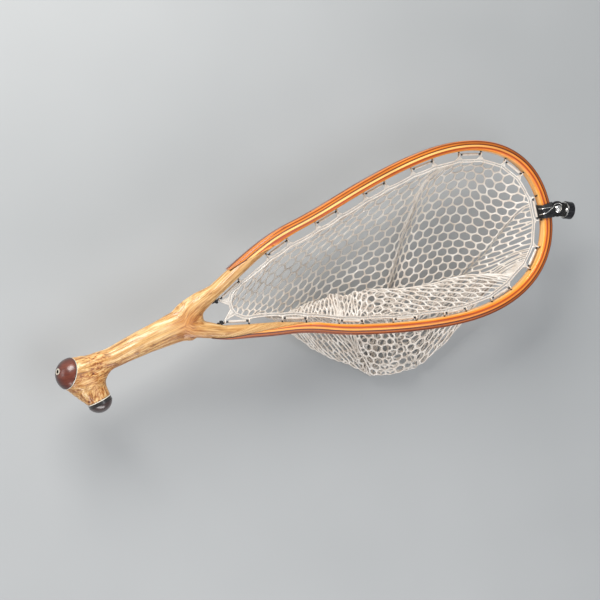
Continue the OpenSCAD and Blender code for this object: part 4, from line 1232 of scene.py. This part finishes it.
def knot(center, along, size=1.25, tail=3.0, seed=0.0):
    """An overhand knot: a trefoil loop drawn tight, with a short cut end."""
    t_ = np.linspace(0, 2 * np.pi, 60, endpoint=False)
    al = unit(np.array([along[0], along[1], 0.0]))
    q = np.cross((0, 0, 1.0), al)
    a_ = (np.sin(t_) + 2 * np.sin(2 * t_)) * 0.42
    b_ = (np.cos(t_) - 2 * np.cos(2 * t_)) * 0.42
    c_ = -np.sin(3 * t_) * 0.7
    path = np.array([center[0], center[1], 0.0]) + size * (a_[:, None] * q + b_[:, None] * np.array([0, 0, 1.0]) + c_[:, None] * al)
    end = np.array([center[0], center[1], 0.0])
    tp = np.array([end, end + size * (0.6 * q + 0.5 * np.array([0, 0, 1.0])), end + tail * unit(0.5 * q + np.array([0, 0, 0.5]) - al * 0.8)])
    return [tube(path, 0.82, 7, closed=True, up=al), tube(resample(chaikin(tp, 2), 0.6), 0.8, 7, up=al)]


for sg in (-1, 1):
    c0 = 0.45 * offp(sg * CORD_END, -1.6)[0] + 0.55 * offp(sg * hole_b(7), lace_in(hole_b(7)))[0]
    d0 = offp(sg * hole_b(7), -3.3)[0] - offp(sg * CORD_END, -1.6)[0]
    parts += knot(c0, d0)
v, f = join(parts)
cord_ob = add_mesh("lacing_line", v, f, MATS["cord_black"], smooth_angle=None)
fix_normals(cord_ob)
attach(cord_ob, "net")
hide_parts("lacing_cord")

# ---------------------------------------------------------------- CAD nodes shown as they are, with materials and softened edges
LOOK = {
    "butt_spacer_light": ("spacer_light", 0.0), "butt_spacer_dark": ("spacer_dark", 0.0), "butt_cap": ("cap_wood", 0.35),
    "lanyard_insert": ("insert_metal", 0.12), "tine_spacer_light": ("spacer_light", 0.0), "tine_spacer_dark": ("spacer_dark", 0.0),
    "tine_cap": ("shaded_cap_wood", 0.35), "tine_dowel": ("dowel_wood", 0.2), "lacing_tubes": ("tube_clear", 0.0),
    "clamp_cushion": ("cushion_rubber", 0.45), "clamp_strap": ("clamp_metal", 0.36), "clamp_screw": ("screw_steel", 0.2),
    "clamp_washers": ("screw_steel", 0.12), "clamp_nut": ("screw_steel", 0.2), "release_bracket": ("bracket_steel", 0.4),
    "bracket_rivets": ("screw_steel", 0.12), "magnet_cup": ("cup_steel", 0.45), "magnet_disc": ("magnet_black", 0.3),
}
for name, (mat, bev) in LOOK.items():
    ob = nodes[name]
    ob.data.materials.clear()
    ob.data.materials.append(MATS[mat])
    ob.data.shade_smooth()
    ob.data.set_sharp_from_angle(angle=math.radians(32))
    if bev:
        md = ob.modifiers.new("bevel", "BEVEL")
        md.width = bev * 0.001
        md.segments = 2
        md.limit_method = "ANGLE"
        md.angle_limit = math.radians(38)
        md.use_clamp_overlap = True
        # the bevels of the strap, bracket and cup get the bright steel: painted highlights on their edges
        if name in ("clamp_strap", "release_bracket", "magnet_cup"):
            ob.data.materials.append(MATS["clamp_edge_highlight"])
            md.material = 1


def paint(name, mat, pick):
    """Give the faces of a node that 'pick' chooses another material; pick sees face centres and normals, hoop mm."""
    ob = nodes[name]
    me_ = ob.data
    if MATS[mat].name not in [q.name for q in me_.materials]:
        me_.materials.append(MATS[mat])
    k = [q.name for q in me_.materials].index(MATS[mat].name)
    mw_ = np.array(ob.matrix_world)
    for pl in me_.polygons:
        c_ = (mw_[:3, :3] @ np.array(pl.center) + mw_[:3, 3]) * 1000 - SHIFT
        n_ = mw_[:3, :3] @ np.array(pl.normal)
        if pick(c_, n_):
            pl.material_index = k


def off_axis(c_, p_, a_):
    d_ = c_ - p_
    return np.linalg.norm(d_ - a_ * np.dot(d_, a_)), float(np.dot(d_, a_))


# the socket's bore is painted dark as painted shade; the rims of the release's flange and cup are painted bright steel
# as painted highlights
paint("lanyard_insert", "bore_painted_shade", lambda c_, n_: off_axis(c_, BUTT_FACE, BN3)[0] < 2.0)
CLIP_P = np.array([*offp(-6.0, BOW_T / 2)[0], 0.0])
CD = math.atan2(*N(-6.0)[0][::-1])
SCREW = CLIP_P + 15.8 * np.array([math.cos(CD), math.sin(CD), 0])
RD = CD - math.radians(18)
RN = np.array([math.cos(RD), math.sin(RD), 0.0])
paint("release_bracket", "clamp_edge_highlight", lambda c_, n_: off_axis(c_, SCREW, RN)[1] > 7.9 and (abs(np.dot(n_, RN)) < 0.3 and off_axis(c_, SCREW, RN)[0] > 8.0 or np.dot(n_, RN) < -0.9))
paint("magnet_cup", "clamp_edge_highlight", lambda c_, n_: np.dot(n_, RN) > 0.9 and off_axis(c_, SCREW, RN)[1] > 15.0)

# painted highlights along the strap's edges, drawn as bright wires in the clamp's own plane: x out from the bow's
# middle line, y along the bow
CU = np.array([math.cos(CD), math.sin(CD), 0.0])
CV = np.array([-CU[1], CU[0], 0.0])
SURF_X, SURF_Z = [-30, 4.65, 7.35, 9.12, 10.65, 11.4, 40], [9.3, 9.3, 8.25, 5.65, 2.5, 1.75, 1.75]


def edge_wire(start_pts, xs_, ys_, r):
    """A painted highlight along a strap edge: a bright wire that comes up the strap's inner wall through start_pts (x,
    y, z) and lies on its upper face along (xs_, ys_).
    """
    x_ = np.arange(xs_[0], xs_[-1] + 0.01, 0.6)
    top_ = np.stack([x_, np.interp(x_, xs_, ys_), np.interp(x_, SURF_X, SURF_Z) + 0.28], 1)
    q = resample(chaikin(np.vstack([np.array(start_pts, float), top_]), 3), 0.5)
    return tube(np.array([CLIP_P + CU * x + CV * y + np.array([0, 0, z]) for x, y, z in q]), r, 8)


wires = [edge_wire([(-8.75, 5.0, 1.5), (-8.75, 5.0, 5.4), (-8.2, 5.0, 7.9), (-6.6, 5.0, 9.1)], [-4.6, 0.0, 4.0], [5.0, 4.9, 4.5], 0.40),
         edge_wire([(-8.75, -1.6, 2.2), (-8.75, -1.2, 5.4), (-8.2, -0.8, 7.9), (-6.6, -0.6, 9.1)],
                   [-4.6, -2.7, 0.2, 3.3, 6.0, 9.0, 12.0, 14.5, 17.0, 19.4, 21.3], [-0.4, 0.1, 1.3, 3.0, 4.3, 5.0, 5.6, 6.0, 6.0, 5.2, 3.2], 0.52)]
v, f = join(wires)
wire = add_mesh("clamp_strap_edge_highlights", v, f, MATS["clamp_edge_highlight"], smooth_angle=None)
fix_normals(wire)
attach(wire, "net")

# ---------------------------------------------------------------- floor, light, camera
floor_mat = Mat("floor")
g = floor_mat.noise(floor_mat.coord("Object", (3, 3, 3)), 1.0, 3)
floor_mat.color(floor_mat.ramp(g, [(0.3, (0.34, 0.35, 0.355)), (0.7, (0.37, 0.38, 0.385))])).set(rough=0.75)
floor = add_mesh("floor", [(-6, -6, -0.0712), (6, -6, -0.0712), (6, 6, -0.0712), (-6, 6, -0.0712)], [(0, 1, 2, 3)], floor_mat.m, row_frame=True)

VR = np.array([0.8899, -0.2339, 0.3916])
VU = np.array([0.2817, 0.957, -0.0686])
VB = np.array([-0.3587, 0.1714, 0.9176])
Rm = np.stack([VR, VU, VB])
uu, _, vv = np.linalg.svd(Rm)
Rm = uu @ vv
cam_h = Rm.T @ (np.array([0, 0, 1496.92]) - np.array([-79.6683, -7.0166, 0]))
cam_loc = to_row(cam_h)
cam = bpy.data.objects.new("camera", bpy.data.cameras.new("camera"))
scene.collection.objects.link(cam)
cam.data.sensor_width = 36
cam.data.lens = 90
cam.data.clip_start, cam.data.clip_end = 0.05, 50
mw = Matrix.Identity(4)
for r_ in range(3):
    for c_ in range(3):
        mw[r_][c_] = Rm[c_][r_]
    mw[r_][3] = cam_loc[r_]
cam.matrix_world = mw
scene.camera = cam


def area(name, loc, aim, size, power, color=(1, 1, 1), size_y=None):
    l = bpy.data.lights.new(name, "AREA")
    l.shape = "RECTANGLE"
    l.size, l.size_y = size, size_y or size
    l.energy, l.color = power, color
    o = bpy.data.objects.new(name, l)
    scene.collection.objects.link(o)
    o.location = loc
    o.rotation_mode = "QUATERNION"
    o.rotation_quaternion = (Vector(aim) - Vector(loc)).to_track_quat("-Z", "Y")
    return o


mid = Vector((0.30, 0.0, 0.0))
r3, u3, b3 = (Vector(q) for q in (Rm[0], Rm[1], Rm[2]))
area("key", mid + u3 * 0.95 + b3 * 1.05 - r3 * 0.35, mid, 0.9, 30, (1, 0.98, 0.95), 0.7)
area("fill", mid - u3 * 0.5 + b3 * 1.3 + r3 * 1.0, mid, 1.2, 9, (0.95, 0.97, 1))
area("side", mid - r3 * 1.3 + b3 * 0.5 + u3 * 0.1, mid, 0.8, 6, (1, 1, 1))
area("low", mid - u3 * 1.15 + b3 * 0.42 + r3 * 0.1, mid, 1.3, 9, (1, 0.97, 0.96), 0.35)
world = bpy.data.worlds.new("world")
scene.world = world
world.use_nodes = True
world.node_tree.nodes["Background"].inputs[0].default_value = (0.80, 0.84, 0.88, 1)
world.node_tree.nodes["Background"].inputs[1].default_value = 0.42
scene.view_settings.view_transform = "Standard"
